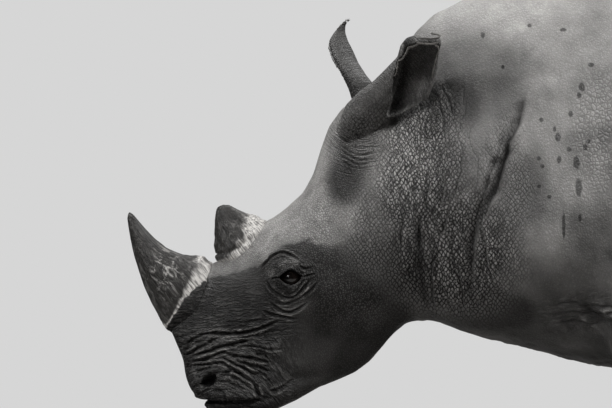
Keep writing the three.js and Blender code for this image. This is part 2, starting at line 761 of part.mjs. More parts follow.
// A repeatable draw between 0 and 1.
function drawFrom(seed) {
  let state = seed;
  return () => {
    state = (state * 16807) % 2147483647;
    return state / 2147483647;
  };
}

function tailMeshes() {
  const [end, tail] = partAtHeight(tailSolid(0), TAIL_CUT);
  const random = drawFrom(20);
  let tuft = end;
  for (let i = 0; i < LOCK_COUNT; i += 1) {
    tuft = tuft.add(lockSolid(i, random));
  }
  return [meshOf("tail", tail, HIDE), meshOf("tail_tuft", tuft, BRISTLE)];
}

// ---------------------------------------------------------------- the whole animal

function build() {
  const animal = new THREE.Group();
  const [front, behind] = partAtLine(bodySolid(), HEAD_CUT);
  const [neck, rear] = partAtLine(behind, NECK_CUT);
  let torso = rear;
  for (const leg of LEGS) {
    const room = keepSide(
      legSolid(leg, GAP),
      new THREE.Vector3(0, 0, leg.cuts.top + GAP),
      new THREE.Vector3(0, 0, -1),
    );
    torso = torso.add(legSolid(leg, 0)).subtract(room);
    animal.add(...legMeshes(leg));
  }
  torso = torso.subtract(tailSolid(GAP));
  animal.add(meshOf("neck", neck, HIDE), meshOf("torso", torso, HIDE));
  animal.add(...headMeshes(front), ...tailMeshes());
  const box = new THREE.Box3().setFromObject(animal);
  animal.position.x = -(box.min.x + box.max.x) / 2;
  animal.position.y = -(box.min.y + box.max.y) / 2;
  return animal;
}

const rhinoceros = build();

export default rhinoceros;
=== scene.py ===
"""A life-size white rhinoceros in dry grey hide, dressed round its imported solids.

Everything is in metres: the nose points to -X, the animal's left side to -Y and up is +Z.
"""

import json
import logging
import math
from collections.abc import Callable
from dataclasses import dataclass, field
from enum import Enum

import bpy
import numpy as np
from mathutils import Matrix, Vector
from mathutils.bvhtree import BVHTree

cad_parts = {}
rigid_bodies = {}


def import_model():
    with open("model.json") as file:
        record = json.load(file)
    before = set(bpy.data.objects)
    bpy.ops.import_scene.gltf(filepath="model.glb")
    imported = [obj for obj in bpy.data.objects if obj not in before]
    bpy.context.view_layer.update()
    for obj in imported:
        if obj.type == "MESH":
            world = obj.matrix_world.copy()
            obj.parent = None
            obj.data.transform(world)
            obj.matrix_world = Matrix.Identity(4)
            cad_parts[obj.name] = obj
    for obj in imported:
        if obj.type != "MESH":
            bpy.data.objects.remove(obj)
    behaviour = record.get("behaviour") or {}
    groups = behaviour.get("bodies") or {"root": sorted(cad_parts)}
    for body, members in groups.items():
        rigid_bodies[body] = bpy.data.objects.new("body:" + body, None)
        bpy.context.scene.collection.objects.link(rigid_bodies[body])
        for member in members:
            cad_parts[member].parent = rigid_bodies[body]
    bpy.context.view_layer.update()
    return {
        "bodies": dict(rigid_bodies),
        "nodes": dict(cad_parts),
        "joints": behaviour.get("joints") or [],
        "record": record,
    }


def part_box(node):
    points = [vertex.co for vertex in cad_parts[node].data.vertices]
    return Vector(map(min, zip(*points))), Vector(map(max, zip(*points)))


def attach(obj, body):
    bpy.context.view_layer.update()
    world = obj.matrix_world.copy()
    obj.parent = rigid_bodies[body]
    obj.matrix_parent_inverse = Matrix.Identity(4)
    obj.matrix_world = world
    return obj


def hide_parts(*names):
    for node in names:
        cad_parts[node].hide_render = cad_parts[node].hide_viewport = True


LOG = logging.getLogger("rhinoceros")
CAMERA_PLACE = (-1.1954, -9.86, 1.056)
SIDES = {"left": -1.0, "right": 1.0}

# The middle of the eye and of the near ear's foot on the side drawing.
DRAWN_EYE = (-1.243, 0.842)
DRAWN_EAR = (-1.03, 1.335)

# Settings of shader nodes that recur.
SMOOTH_STEP = {"interpolation_type": "SMOOTHSTEP"}
TIMES = {"operation": "MULTIPLY"}
TIMES_PLUS = {"operation": "MULTIPLY_ADD"}
PLUS = {"operation": "ADD"}
LARGER = {"operation": "MAXIMUM"}
COLOURS = {"data_type": "RGBA"}

GROUP_STEPS = 100  # a vertex group holds its weights in hundredths
SMOOTH_FACTOR = 1.6
SPREAD_OF_A_ROUND = 0.4  # what one round of smoothing adds to the squared spread, in squared spacings
FOLD_REACH = 5  # how many of its widths from its line a fold can still be felt

Object = bpy.types.Object
Socket = bpy.types.NodeSocket
Tree = bpy.types.NodeTree


class Mask(Enum):
    """The painted strengths, one number a point, that the hide's finish reads."""

    NET = "net"  # the mosaic of diamonds on the neck
    CELL = "cell"  # the mosaic of uneven cells elsewhere
    PEBBLE = "pebble"  # fine raised grains
    LINE = "line"  # fine wrinkles that run along the muzzle
    RING = "ring"  # fine wrinkles round the eye and under the ear
    PLEAT = "pleat"  # upright creases behind the ear and on the throat
    PALE = "pale"  # dust and paled skin, and painted light, on what faces up and on lit patches
    DARK = "dark"  # wet, muddy skin of the face, and painted shade round the eye, in the ears, under the neck and on the underside
    CREASE = "crease"  # painted shade in the floor of a fold
    CREST = "crest"  # painted highlight on the back of a fold
    DULL = "dull"  # dry skin of the underside, without a sheen
    SHELTER = "shelter"  # painted shade on what lies hidden in an ear, a nostril or a fold


class Course(Enum):
    """The places, three numbers a point, that the wrinkles of the finish follow."""

    MUZZLE = "muzzle_course"
    ROUND = "round_course"
    SIDE = "side_course"


def linear(colour: str) -> tuple[float, float, float, float]:
    """Turns an sRGB hex colour into linear light.

    Args:
        colour: six hex digits after a hash.

    Returns:
        Red, green, blue and an alpha of one.
    """
    parts = [int(colour[i : i + 2], 16) / 255 for i in (1, 3, 5)]
    lit = [c / 12.92 if c <= 0.04045 else ((c + 0.055) / 1.055) ** 2.4 for c in parts]
    return (*lit, 1.0)


def add_node(tree: Tree, kind: str, settings: dict | None = None,
             feeds: dict | None = None) -> bpy.types.Node:
    """Adds one shader node.

    Args:
        tree: the node tree.
        kind: the node's type without its ShaderNode prefix.
        settings: properties of the node.
        feeds: sockets, by name or number, with the value or output each one takes.

    Returns:
        The new node.
    """
    node = tree.nodes.new("ShaderNode" + kind)
    for name, value in (settings or {}).items():
        setattr(node, name, value)
    for socket, value in (feeds or {}).items():
        if isinstance(value, Socket):
            tree.links.new(value, node.inputs[socket])
        else:
            node.inputs[socket].default_value = value
    return node


def new_material(name: str) -> tuple[bpy.types.Material, Tree, bpy.types.Node]:
    """Starts a material with nodes.

    Args:
        name: the material's name.

    Returns:
        The material, its node tree and its shader.
    """
    material = bpy.data.materials.new(name)
    material.use_nodes = True
    return material, material.node_tree, material.node_tree.nodes["Principled BSDF"]


def deselect() -> None:
    """Leaves no object selected."""
    for thing in bpy.context.selected_objects:
        thing.select_set(False)


def activate(piece: Object) -> None:
    """Makes one object the only one selected, and the active one.

    Args:
        piece: the object.
    """
    deselect()
    piece.select_set(True)
    bpy.context.view_layer.objects.active = piece


def apply_modifier(piece: Object, kind: str, **settings) -> None:
    """Adds a modifier and applies it at once.

    Args:
        piece: the object.
        kind: the modifier's type.
        **settings: its properties.
    """
    activate(piece)
    modifier = piece.modifiers.new(kind.lower(), kind)
    for name, value in settings.items():
        setattr(modifier, name, value)
    bpy.ops.object.modifier_apply(modifier=modifier.name)


def read_points(piece: Object, what: str = "co") -> np.ndarray:
    """Reads three numbers for each point of a mesh.

    Args:
        piece: the object.
        what: the name of what is read, a place if nothing else is asked for.

    Returns:
        One row a point.
    """
    flat = np.empty(len(piece.data.vertices) * 3, np.float32)
    piece.data.vertices.foreach_get(what, flat)
    return flat.reshape(-1, 3).astype(np.float64)


def read_normals(piece: Object) -> np.ndarray:
    """Gives the normals of a mesh's points, one row each."""
    return read_points(piece, "normal")


def write_points(piece: Object, points: np.ndarray) -> None:
    """Puts a mesh's points at new places."""
    piece.data.vertices.foreach_set("co", points.astype(np.float32).ravel())
    piece.data.update()


def merged_copy(nodes: list[Object], name: str) -> Object:
    """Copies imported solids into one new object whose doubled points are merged.

    Args:
        nodes: the solids.
        name: the new object's name.

    Returns:
        The new object.
    """
    deselect()
    for node in nodes:
        copy = bpy.data.objects.new(name, node.data.copy())
        bpy.context.collection.objects.link(copy)
        copy.select_set(True)
        bpy.context.view_layer.objects.active = copy
    piece = bpy.context.view_layer.objects.active
    if len(nodes) > 1:
        bpy.ops.object.join()
    piece.name = name
    piece.data.name = name
    piece.data.materials.clear()
    bpy.ops.object.mode_set(mode="EDIT")
    bpy.ops.mesh.select_all(action="SELECT")
    bpy.ops.mesh.remove_doubles(threshold=1e-5)
    bpy.ops.object.mode_set(mode="OBJECT")
    return piece


def set_group(piece: Object, name: str, weights: np.ndarray) -> None:
    """Stores weights as a vertex group, rounded to a hundred steps.

    Args:
        piece: the object.
        name: the group's name.
        weights: one number from 0 to 1 a point.
    """
    group = piece.vertex_groups.get(name) or piece.vertex_groups.new(name=name)
    steps = np.clip(np.round(weights * GROUP_STEPS), 0, GROUP_STEPS).astype(int)
    order = np.argsort(steps, kind="stable")
    edges = np.searchsorted(steps[order], np.arange(GROUP_STEPS + 2))
    for step in range(GROUP_STEPS + 1):
        members = order[edges[step] : edges[step + 1]]
        if len(members):
            group.add(members.tolist(), step / GROUP_STEPS, "REPLACE")


def edit_faces(piece: Object, chosen: np.ndarray, operator: Callable, **options) -> None:
    """Runs one edit-mode operator on some of a mesh's faces.

    Args:
        piece: the object.
        chosen: one truth value a face.
        operator: the operator of bpy.ops.mesh.
        **options: what the operator takes.
    """
    activate(piece)
    bpy.ops.object.mode_set(mode="EDIT")
    bpy.ops.mesh.select_mode(type="FACE")
    bpy.ops.mesh.select_all(action="DESELECT")
    bpy.ops.object.mode_set(mode="OBJECT")
    piece.data.polygons.foreach_set("select", chosen)
    bpy.ops.object.mode_set(mode="EDIT")
    operator(**options)
    bpy.ops.object.mode_set(mode="OBJECT")


def relax(piece: Object, softness: float, voxel: float, group: str = "") -> None:
    """Smooths a mesh and gives back the fullness that smoothing takes.

    Args:
        piece: the object.
        softness: how far the smoothing reaches, in metres.
        voxel: the spacing of the mesh's points.
        group: the vertex group that says where, or nothing for all over.
    """
    rounds = int(softness**2 / (SPREAD_OF_A_ROUND * voxel**2))
    settings = {"factor": SMOOTH_FACTOR, "iterations": rounds, "vertex_group": group}
    before = read_points(piece)
    apply_modifier(piece, "SMOOTH", **settings)
    after = read_points(piece)
    write_points(piece, before - after)
    apply_modifier(piece, "SMOOTH", **settings)
    write_points(piece, after + read_points(piece))


def limit_triangles(piece: Object, triangles: int) -> None:
    """Merges the smallest faces of a mesh of quads until it has a given number of triangles."""
    ratio = triangles / (2 * len(piece.data.polygons))
    apply_modifier(piece, "DECIMATE", ratio=min(1.0, ratio))


def face_centres(piece: Object) -> np.ndarray:
    """Gives the middle of each face of a mesh, one row each.

    Args:
        piece: the object.

    Returns:
        One row a face.
    """
    flat = np.empty(len(piece.data.polygons) * 3, np.float32)
    piece.data.polygons.foreach_get("center", flat)
    return flat.reshape(-1, 3)


def store(piece: Object, name: str, values: np.ndarray) -> None:
    """Keeps one number a point as an attribute of the mesh.

    Args:
        piece: the object.
        name: the attribute's name, new or in use.
        values: one number a point.
    """
    attribute = piece.data.attributes.get(name)
    if attribute is None:
        attribute = piece.data.attributes.new(name, "FLOAT", "POINT")
    attribute.data.foreach_set("value", values.astype(np.float32))


def stand(piece: Object) -> None:
    """Lifts the points of a mesh that lie under the floor up to it.

    Args:
        piece: the object.
    """
    points = read_points(piece)
    points[:, 2] = np.maximum(points[:, 2], 0.0)
    write_points(piece, points)


def recall(piece: Object, name: str) -> np.ndarray:
    """Reads one number a point back from an attribute of the mesh.

    Args:
        piece: the object.
        name: the attribute's name.

    Returns:
        One number a point.
    """
    values = np.empty(len(piece.data.vertices), np.float32)
    piece.data.attributes[name].data.foreach_get("value", values)
    return values.astype(np.float64)


def store_places(piece: Object, name: str, places: np.ndarray) -> None:
    """Keeps three numbers a point as an attribute of the mesh."""
    attribute = piece.data.attributes.new(name, "FLOAT_VECTOR", "POINT")
    attribute.data.foreach_set("vector", places.astype(np.float32).ravel())


def ramp(values: np.ndarray, low: float, high: float) -> np.ndarray:
    """Rises smoothly from 0 at low to 1 at high, or falls where low is the greater."""
    t = np.clip((values - low) / (high - low), 0, 1)
    return t * t * (3 - 2 * t)


def bell(values: np.ndarray) -> np.ndarray:
    """Gives 1 where the values are 0, falling smoothly to nearly 0 at 2 on either side."""
    return np.exp(-(values**2))


@dataclass
class Unevenness:
    """Smooth random numbers in space, the same at every run."""

    seed: int
    cells: int = 32
    lattice: np.ndarray = field(init=False)

    def __post_init__(self) -> None:
        """Draws the lattice."""
        self.lattice = np.random.default_rng(self.seed).random((self.cells,) * 3)

    def at(self, points: np.ndarray, size: float | tuple) -> np.ndarray:
        """Gives a number from 0 to 1 at each point.

        Args:
            points: places, one row each.
            size: metres between the lattice's knots, one for all axes or one for each.

        Returns:
            One number a point.
        """
        scaled = points / np.asarray(size)
        base = np.floor(scaled).astype(int)
        t = scaled - base
        t = t * t * (3 - 2 * t)
        total = np.zeros(len(points))
        for corner in np.ndindex(2, 2, 2):
            step = np.array(corner)
            weight = np.prod(np.where(step, t, 1 - t), axis=1)
            knot = (base + step) % self.cells
            total += weight * self.lattice[knot[:, 0], knot[:, 1], knot[:, 2]]
        return total


@dataclass(frozen=True)
class SideDrawing:
    """The animal drawn from its side: each point slid along its sight line to the middle plane."""

    eye: tuple[float, float, float] = CAMERA_PLACE

    def flat(self, points: np.ndarray) -> np.ndarray:
        """Gives the place of each point of either side on the drawing.

        Args:
            points: places, one row each.

        Returns:
            Two numbers a point, along and up.
        """
        reach = -self.eye[1]
        scale = reach / (reach - np.abs(points[:, 1]))
        along = self.eye[0] + (points[:, 0] - self.eye[0]) * scale
        up = self.eye[2] + (points[:, 2] - self.eye[2]) * scale
        return np.stack([along, up], axis=1)


@dataclass(frozen=True)
class Fold:
    """One crease of the skin, on a line of the side drawing."""

    width: float
    depth: float
    path: tuple[tuple[float, float], ...]
    lip: float = 0.40

    def rounded(self) -> np.ndarray:
        """Cuts the corners of the line twice.

        Returns:
            The points of the smoother line, one row each.
        """
        line = np.array(self.path)
        for _ in range(2):
            near = line[:-1] * 0.75 + line[1:] * 0.25
            far = line[:-1] * 0.25 + line[1:] * 0.75
            between = np.stack([near, far], axis=1).reshape(-1, 2)
            line = np.concatenate([line[:1], between, line[-1:]])
        return line

    def relief(self, flat: np.ndarray, waver: np.ndarray) -> tuple[np.ndarray, np.ndarray]:
        """Works out how far the skin sinks or swells along the crease.

        Args:
            flat: places on the side drawing.
            waver: one number from 0 to 1 a place, which makes the depth uneven.

        Returns:
            The height in metres, and how deep in the groove each place is, from 0 to 1.
        """
        line = self.rounded()
        lengths = np.linalg.norm(np.diff(line, axis=0), axis=1)
        best = np.full(len(flat), 1e9)
        place = np.zeros(len(flat))
        start = 0.0
        for a, b, length in zip(line[:-1], line[1:], lengths):
            t = np.clip((flat - a) @ (b - a) / length**2, 0, 1)
            gap = np.linalg.norm(flat - a - t[:, None] * (b - a), axis=1)
            nearer = gap < best
            best = np.where(nearer, gap, best)
            place = np.where(nearer, (start + t * length) / lengths.sum(), place)
            start += length
        ends = np.clip(6.5 * place * (1 - place), 0, 1) ** 0.7
        q = best / (self.width * (0.7 + 0.5 * waver) * (0.4 + 0.6 * ends))
        groove = np.exp(-(q**1.5)) * ends
        lips = bell((q - 2.2) / 1.1) * ends
        return self.depth * (0.6 + 0.8 * waver) * (self.lip * lips - groove), groove


EYE_FOLDS = (
    Fold(0.0035, 0.0067, (
        (-1.323, 0.870), (-1.297, 0.902), (-1.268, 0.917), (-1.239, 0.908), (-1.213, 0.891),
    )),
    Fold(0.0023, 0.0023, ((-1.222, 0.884), (-1.204, 0.870), (-1.187, 0.862))),
    Fold(0.0031, 0.0045, ((-1.300, 0.836), (-1.283, 0.841), (-1.268, 0.844))),
    Fold(0.0027, 0.0045, ((-1.210, 0.846), (-1.190, 0.849), (-1.167, 0.856))),
    Fold(0.0027, 0.0037, ((-1.245, 0.805), (-1.227, 0.809), (-1.204, 0.833))),
    Fold(0.0035, 0.0067, (
        (-1.312, 0.833), (-1.300, 0.812), (-1.268, 0.785), (-1.239, 0.785), (-1.204, 0.809), (-1.181, 0.838),
    )),
    Fold(0.0031, 0.0053, (
        (-1.280, 0.769), (-1.248, 0.767), (-1.213, 0.779), (-1.175, 0.812), (-1.161, 0.830),
    )),
    Fold(0.0035, 0.0060, (
        (-1.300, 0.770), (-1.277, 0.754), (-1.256, 0.741), (-1.233, 0.743), (-1.207, 0.757), (-1.187, 0.775),
    )),
    Fold(0.0035, 0.0053, (
        (-1.323, 0.746), (-1.297, 0.735), (-1.271, 0.733), (-1.242, 0.722), (-1.219, 0.725),
    )),
    Fold(0.0027, 0.0030, ((-1.216, 0.876), (-1.193, 0.867), (-1.175, 0.876))),
)
MUZZLE_FOLDS = (
    Fold(0.0041, 0.0084, (
        (-1.555, 0.644), (-1.535, 0.656), (-1.515, 0.672), (-1.483, 0.679), (-1.439, 0.679), (-1.396, 0.679),
        (-1.352, 0.686), (-1.317, 0.702), (-1.274, 0.717),
    )),
    Fold(0.0034, 0.0056, (
        (-1.549, 0.617), (-1.526, 0.624), (-1.500, 0.643), (-1.477, 0.653), (-1.451, 0.664),
    )),
    Fold(0.0038, 0.0072, (
        (-1.526, 0.619), (-1.500, 0.619), (-1.462, 0.633), (-1.428, 0.644), (-1.393, 0.653), (-1.341, 0.664),
    )),
    Fold(0.0036, 0.0066, (
        (-1.544, 0.599), (-1.494, 0.601), (-1.462, 0.619), (-1.442, 0.627), (-1.407, 0.619), (-1.367, 0.609),
        (-1.323, 0.601), (-1.291, 0.595),
    )),
    Fold(0.0036, 0.0070, (
        (-1.541, 0.583), (-1.503, 0.590), (-1.462, 0.596), (-1.439, 0.595), (-1.410, 0.577), (-1.378, 0.554),
        (-1.341, 0.530),
    )),
    Fold(0.0034, 0.0056, ((-1.439, 0.611), (-1.407, 0.592), (-1.370, 0.575), (-1.323, 0.557))),
    Fold(0.0034, 0.0056, ((-1.413, 0.586), (-1.387, 0.563), (-1.355, 0.543), (-1.341, 0.522))),
    Fold(0.0034, 0.0056, (
        (-1.442, 0.557), (-1.425, 0.563), (-1.399, 0.556), (-1.370, 0.532), (-1.346, 0.514),
    )),
    Fold(0.0030, 0.0032, ((-1.422, 0.543), (-1.396, 0.534), (-1.372, 0.516))),
    Fold(0.0030, 0.0040, ((-1.448, 0.514), (-1.433, 0.499), (-1.425, 0.488))),
    Fold(0.0030, 0.0032, ((-1.387, 0.643), (-1.341, 0.644), (-1.306, 0.633), (-1.268, 0.633))),
    Fold(0.0030, 0.0032, ((-1.399, 0.669), (-1.358, 0.670), (-1.323, 0.679), (-1.285, 0.693))),
    Fold(0.0030, 0.0032, ((-1.439, 0.708), (-1.399, 0.714), (-1.358, 0.711), (-1.323, 0.720))),
    Fold(0.0030, 0.0032, ((-1.372, 0.592), (-1.341, 0.583), (-1.312, 0.573), (-1.294, 0.569))),
    Fold(0.0044, 0.0084, ((-1.343, 0.534), (-1.338, 0.514), (-1.330, 0.493))),
    Fold(0.0060, 0.0080, ((-1.447, 0.553), (-1.428, 0.566), (-1.410, 0.574))),
    Fold(0.0043, 0.0048, ((-1.306, 0.508), (-1.280, 0.516), (-1.251, 0.528), (-1.236, 0.546))),
)
EAR_FOLDS = (
    Fold(0.0027, 0.0031, ((-1.082, 1.268), (-1.059, 1.247), (-1.033, 1.231), (-0.995, 1.239))),
    Fold(0.0027, 0.0027, (
        (-1.103, 1.268), (-1.080, 1.240), (-1.053, 1.220), (-1.022, 1.217), (-0.987, 1.224),
    )),
    Fold(0.0027, 0.0031, (
        (-1.106, 1.244), (-1.082, 1.218), (-1.056, 1.201), (-1.027, 1.195), (-0.987, 1.210),
    )),
    Fold(0.0027, 0.0027, ((-1.100, 1.224), (-1.074, 1.198), (-1.045, 1.182), (-1.010, 1.185))),
    Fold(0.0027, 0.0023, ((-1.103, 1.205), (-1.071, 1.183), (-1.036, 1.168), (-1.004, 1.178))),
    Fold(0.0024, 0.0015, ((-1.094, 1.183), (-1.062, 1.165), (-1.027, 1.155))),
    Fold(0.0034, 0.0031, ((-1.019, 1.266), (-0.995, 1.272), (-0.975, 1.285))),
)
NECK_FOLDS = (
    Fold(0.0085, 0.0078, (
        (-0.563, 1.357), (-0.578, 1.300), (-0.604, 1.247), (-0.624, 1.195), (-0.636, 1.143), (-0.650, 1.091),
        (-0.671, 1.050), (-0.685, 1.004),
    ), 0.18),
    Fold(0.0062, 0.0054, (
        (-0.616, 1.294), (-0.633, 1.233), (-0.650, 1.175), (-0.671, 1.120), (-0.691, 1.062), (-0.711, 1.004),
        (-0.719, 0.946), (-0.720, 0.888), (-0.711, 0.830),
    ), 0.18),
    Fold(0.0037, 0.0062, (
        (-0.688, 1.033), (-0.685, 0.975), (-0.676, 0.917), (-0.668, 0.859), (-0.647, 0.806),
    ), 0.18),
    Fold(0.0037, 0.0074, (
        (-0.868, 1.024), (-0.868, 0.952), (-0.871, 0.888), (-0.874, 0.836), (-0.882, 0.789),
    ), 0.18),
    Fold(0.0031, 0.0074, (
        (-0.807, 0.911), (-0.827, 0.891), (-0.833, 0.850), (-0.830, 0.778), (-0.824, 0.725),
    ), 0.18),
    Fold(0.0031, 0.0043, ((-0.781, 1.067), (-0.787, 1.021), (-0.804, 0.969), (-0.816, 0.922)), 0.18),
    Fold(0.0028, 0.0043, ((-0.758, 0.888), (-0.749, 0.850), (-0.746, 0.806), (-0.740, 0.763)), 0.18),
    Fold(0.0031, 0.0037, ((-0.908, 1.050), (-0.917, 1.004), (-0.923, 0.957), (-0.917, 0.917)), 0.18),
    Fold(0.0028, 0.0043, (
        (-0.827, 1.386), (-0.810, 1.352), (-0.798, 1.300), (-0.790, 1.247), (-0.787, 1.198),
    ), 0.18),
    Fold(0.0028, 0.0037, (
        (-0.868, 1.314), (-0.862, 1.259), (-0.868, 1.207), (-0.871, 1.155), (-0.885, 1.097),
    ), 0.18),
    Fold(0.0025, 0.0031, ((-0.804, 1.392), (-0.781, 1.357), (-0.769, 1.311)), 0.18),
    Fold(0.0025, 0.0031, ((-0.836, 1.140), (-0.839, 1.097), (-0.853, 1.053), (-0.865, 1.015)), 0.18),
    Fold(0.0025, 0.0031, ((-0.795, 1.183), (-0.792, 1.137), (-0.798, 1.085), (-0.813, 1.038)), 0.18),
    Fold(0.0025, 0.0031, ((-0.743, 1.212), (-0.746, 1.155), (-0.761, 1.097), (-0.778, 1.050)), 0.18),
)
VALLEYS = (
    Fold(0.020, 0.012, (
        (-0.558, 1.363), (-0.601, 1.279), (-0.624, 1.189), (-0.647, 1.108), (-0.691, 1.038), (-0.717, 0.952),
        (-0.720, 0.838), (-0.708, 0.749),
    ), 0.12),
    Fold(0.018, 0.010, (
        (-0.868, 1.033), (-0.868, 0.952), (-0.865, 0.865), (-0.853, 0.778), (-0.830, 0.725),
    ), 0.12),
)
# Each set of the head and neck with how far its folds stray from their lines, in metres.
HEAD_FOLDS = (
    (EYE_FOLDS, 0.002), (MUZZLE_FOLDS, 0.004), (EAR_FOLDS, 0.006), (NECK_FOLDS, 0.0035), (VALLEYS, 0.003),
)
NECK_BAND = Fold(0.040, 1.0, ((-0.99, 1.06), (-0.93, 1.02), (-0.868, 0.995), (-0.80, 1.00), (-0.735, 1.024)))
EAR_HEM = Fold(0.0045, 1.0, ((-0.812, 1.43), (-0.816, 1.401), (-0.850, 1.3575), (-0.966, 1.308)))
BODY_FOLDS = (
    Fold(0.0048, 0.0042, (
        (-0.502, 0.760), (-0.459, 0.769), (-0.401, 0.766), (-0.308, 0.760), (-0.227, 0.751),
    )),
    Fold(0.0042, 0.0036, (
        (-0.494, 0.740), (-0.430, 0.746), (-0.357, 0.737), (-0.299, 0.740), (-0.227, 0.731),
    )),
    Fold(0.0042, 0.0036, (
        (-0.482, 0.714), (-0.415, 0.720), (-0.343, 0.711), (-0.285, 0.717), (-0.212, 0.705),
    )),
    Fold(0.034, 0.011, ((0.00, 1.42), (0.05, 1.25), (0.08, 1.05), (0.06, 0.86), (0.02, 0.72))),
    Fold(0.012, 0.008, ((-0.41, 0.80), (-0.36, 0.73), (-0.26, 0.685), (-0.15, 0.68), (-0.06, 0.71))),
    Fold(0.012, 0.012, ((0.03, 0.86), (0.00, 0.76), (-0.01, 0.68), (0.02, 0.60))),
    Fold(0.034, 0.010, ((1.16, 1.16), (1.08, 1.06), (1.04, 0.94), (1.03, 0.82), (1.05, 0.70))),
    Fold(0.014, 0.006, ((1.10, 0.98), (1.09, 0.88), (1.09, 0.78), (1.12, 0.70))),
    Fold(0.020, 0.008, ((1.48, 1.36), (1.53, 1.24), (1.55, 1.10), (1.54, 0.96), (1.51, 0.84))),
    Fold(0.012, 0.009, ((1.34, 0.74), (1.42, 0.70), (1.50, 0.69))),
    Fold(0.010, 0.007, ((1.20, 0.62), (1.28, 0.58), (1.36, 0.56))),
)


@dataclass(frozen=True)
class Ring:
    """Creases that cross a leg at one height, deepest on the side that bends."""

    height: float
    width: float
    depth: float
    slope: float
    forward: float


FORE_RINGS = (
    Ring(0.470, 0.008, 0.007, 0.10, -1.0),
    Ring(0.435, 0.007, 0.006, 0.05, -1.0),
    Ring(0.400, 0.007, 0.005, -0.05, -1.0),
    Ring(0.190, 0.008, 0.008, 0.10, 0.2),
    Ring(0.162, 0.007, 0.006, -0.05, 0.2),
    Ring(0.560, 0.010, 0.007, 0.20, 1.0),
)
HIND_RINGS = (
    Ring(0.430, 0.008, 0.007, -0.15, -1.0),
    Ring(0.395, 0.007, 0.006, -0.10, -1.0),
    Ring(0.200, 0.008, 0.008, 0.12, 0.2),
    Ring(0.170, 0.007, 0.006, -0.05, 0.2),
    Ring(0.500, 0.012, 0.009, 0.25, 1.0),
)


def within(flat: np.ndarray, line: np.ndarray, margin: float) -> np.ndarray:
    """Tells which places of the side drawing lie in the box round a line, with a margin."""
    return ((flat > line.min(0) - margin) & (flat < line.max(0) + margin)).all(axis=1)


def surface_of(piece: Object) -> BVHTree:
    """Makes a search tree of a mesh's surface.

    Args:
        piece: the object.

    Returns:
        The tree.
    """
    mesh = piece.data
    mesh.calc_loop_triangles()
    corners = np.empty(len(mesh.loop_triangles) * 3, np.int32)
    mesh.loop_triangles.foreach_get("vertices", corners)
    return BVHTree.FromPolygons(read_points(piece).tolist(), corners.reshape(-1, 3).tolist())


def gap_to(tree: BVHTree, box: tuple, points: np.ndarray, reach: float) -> np.ndarray:
    """Measures how far each point lies from a surface.

    Args:
        tree: the surface.
        box: its lowest and highest corner.
        points: places, one row each.
        reach: the distance past which it no longer matters.

    Returns:
        One distance a point, no more than the reach.
    """
    gaps = np.full(len(points), reach)
    low, high = np.array(box[0]) - reach, np.array(box[1]) + reach
    for i in np.flatnonzero(((points > low) & (points < high)).all(axis=1)):
        found = tree.find_nearest(points[i], reach)
        if found[3] is not None:
            gaps[i] = found[3]
    return gaps


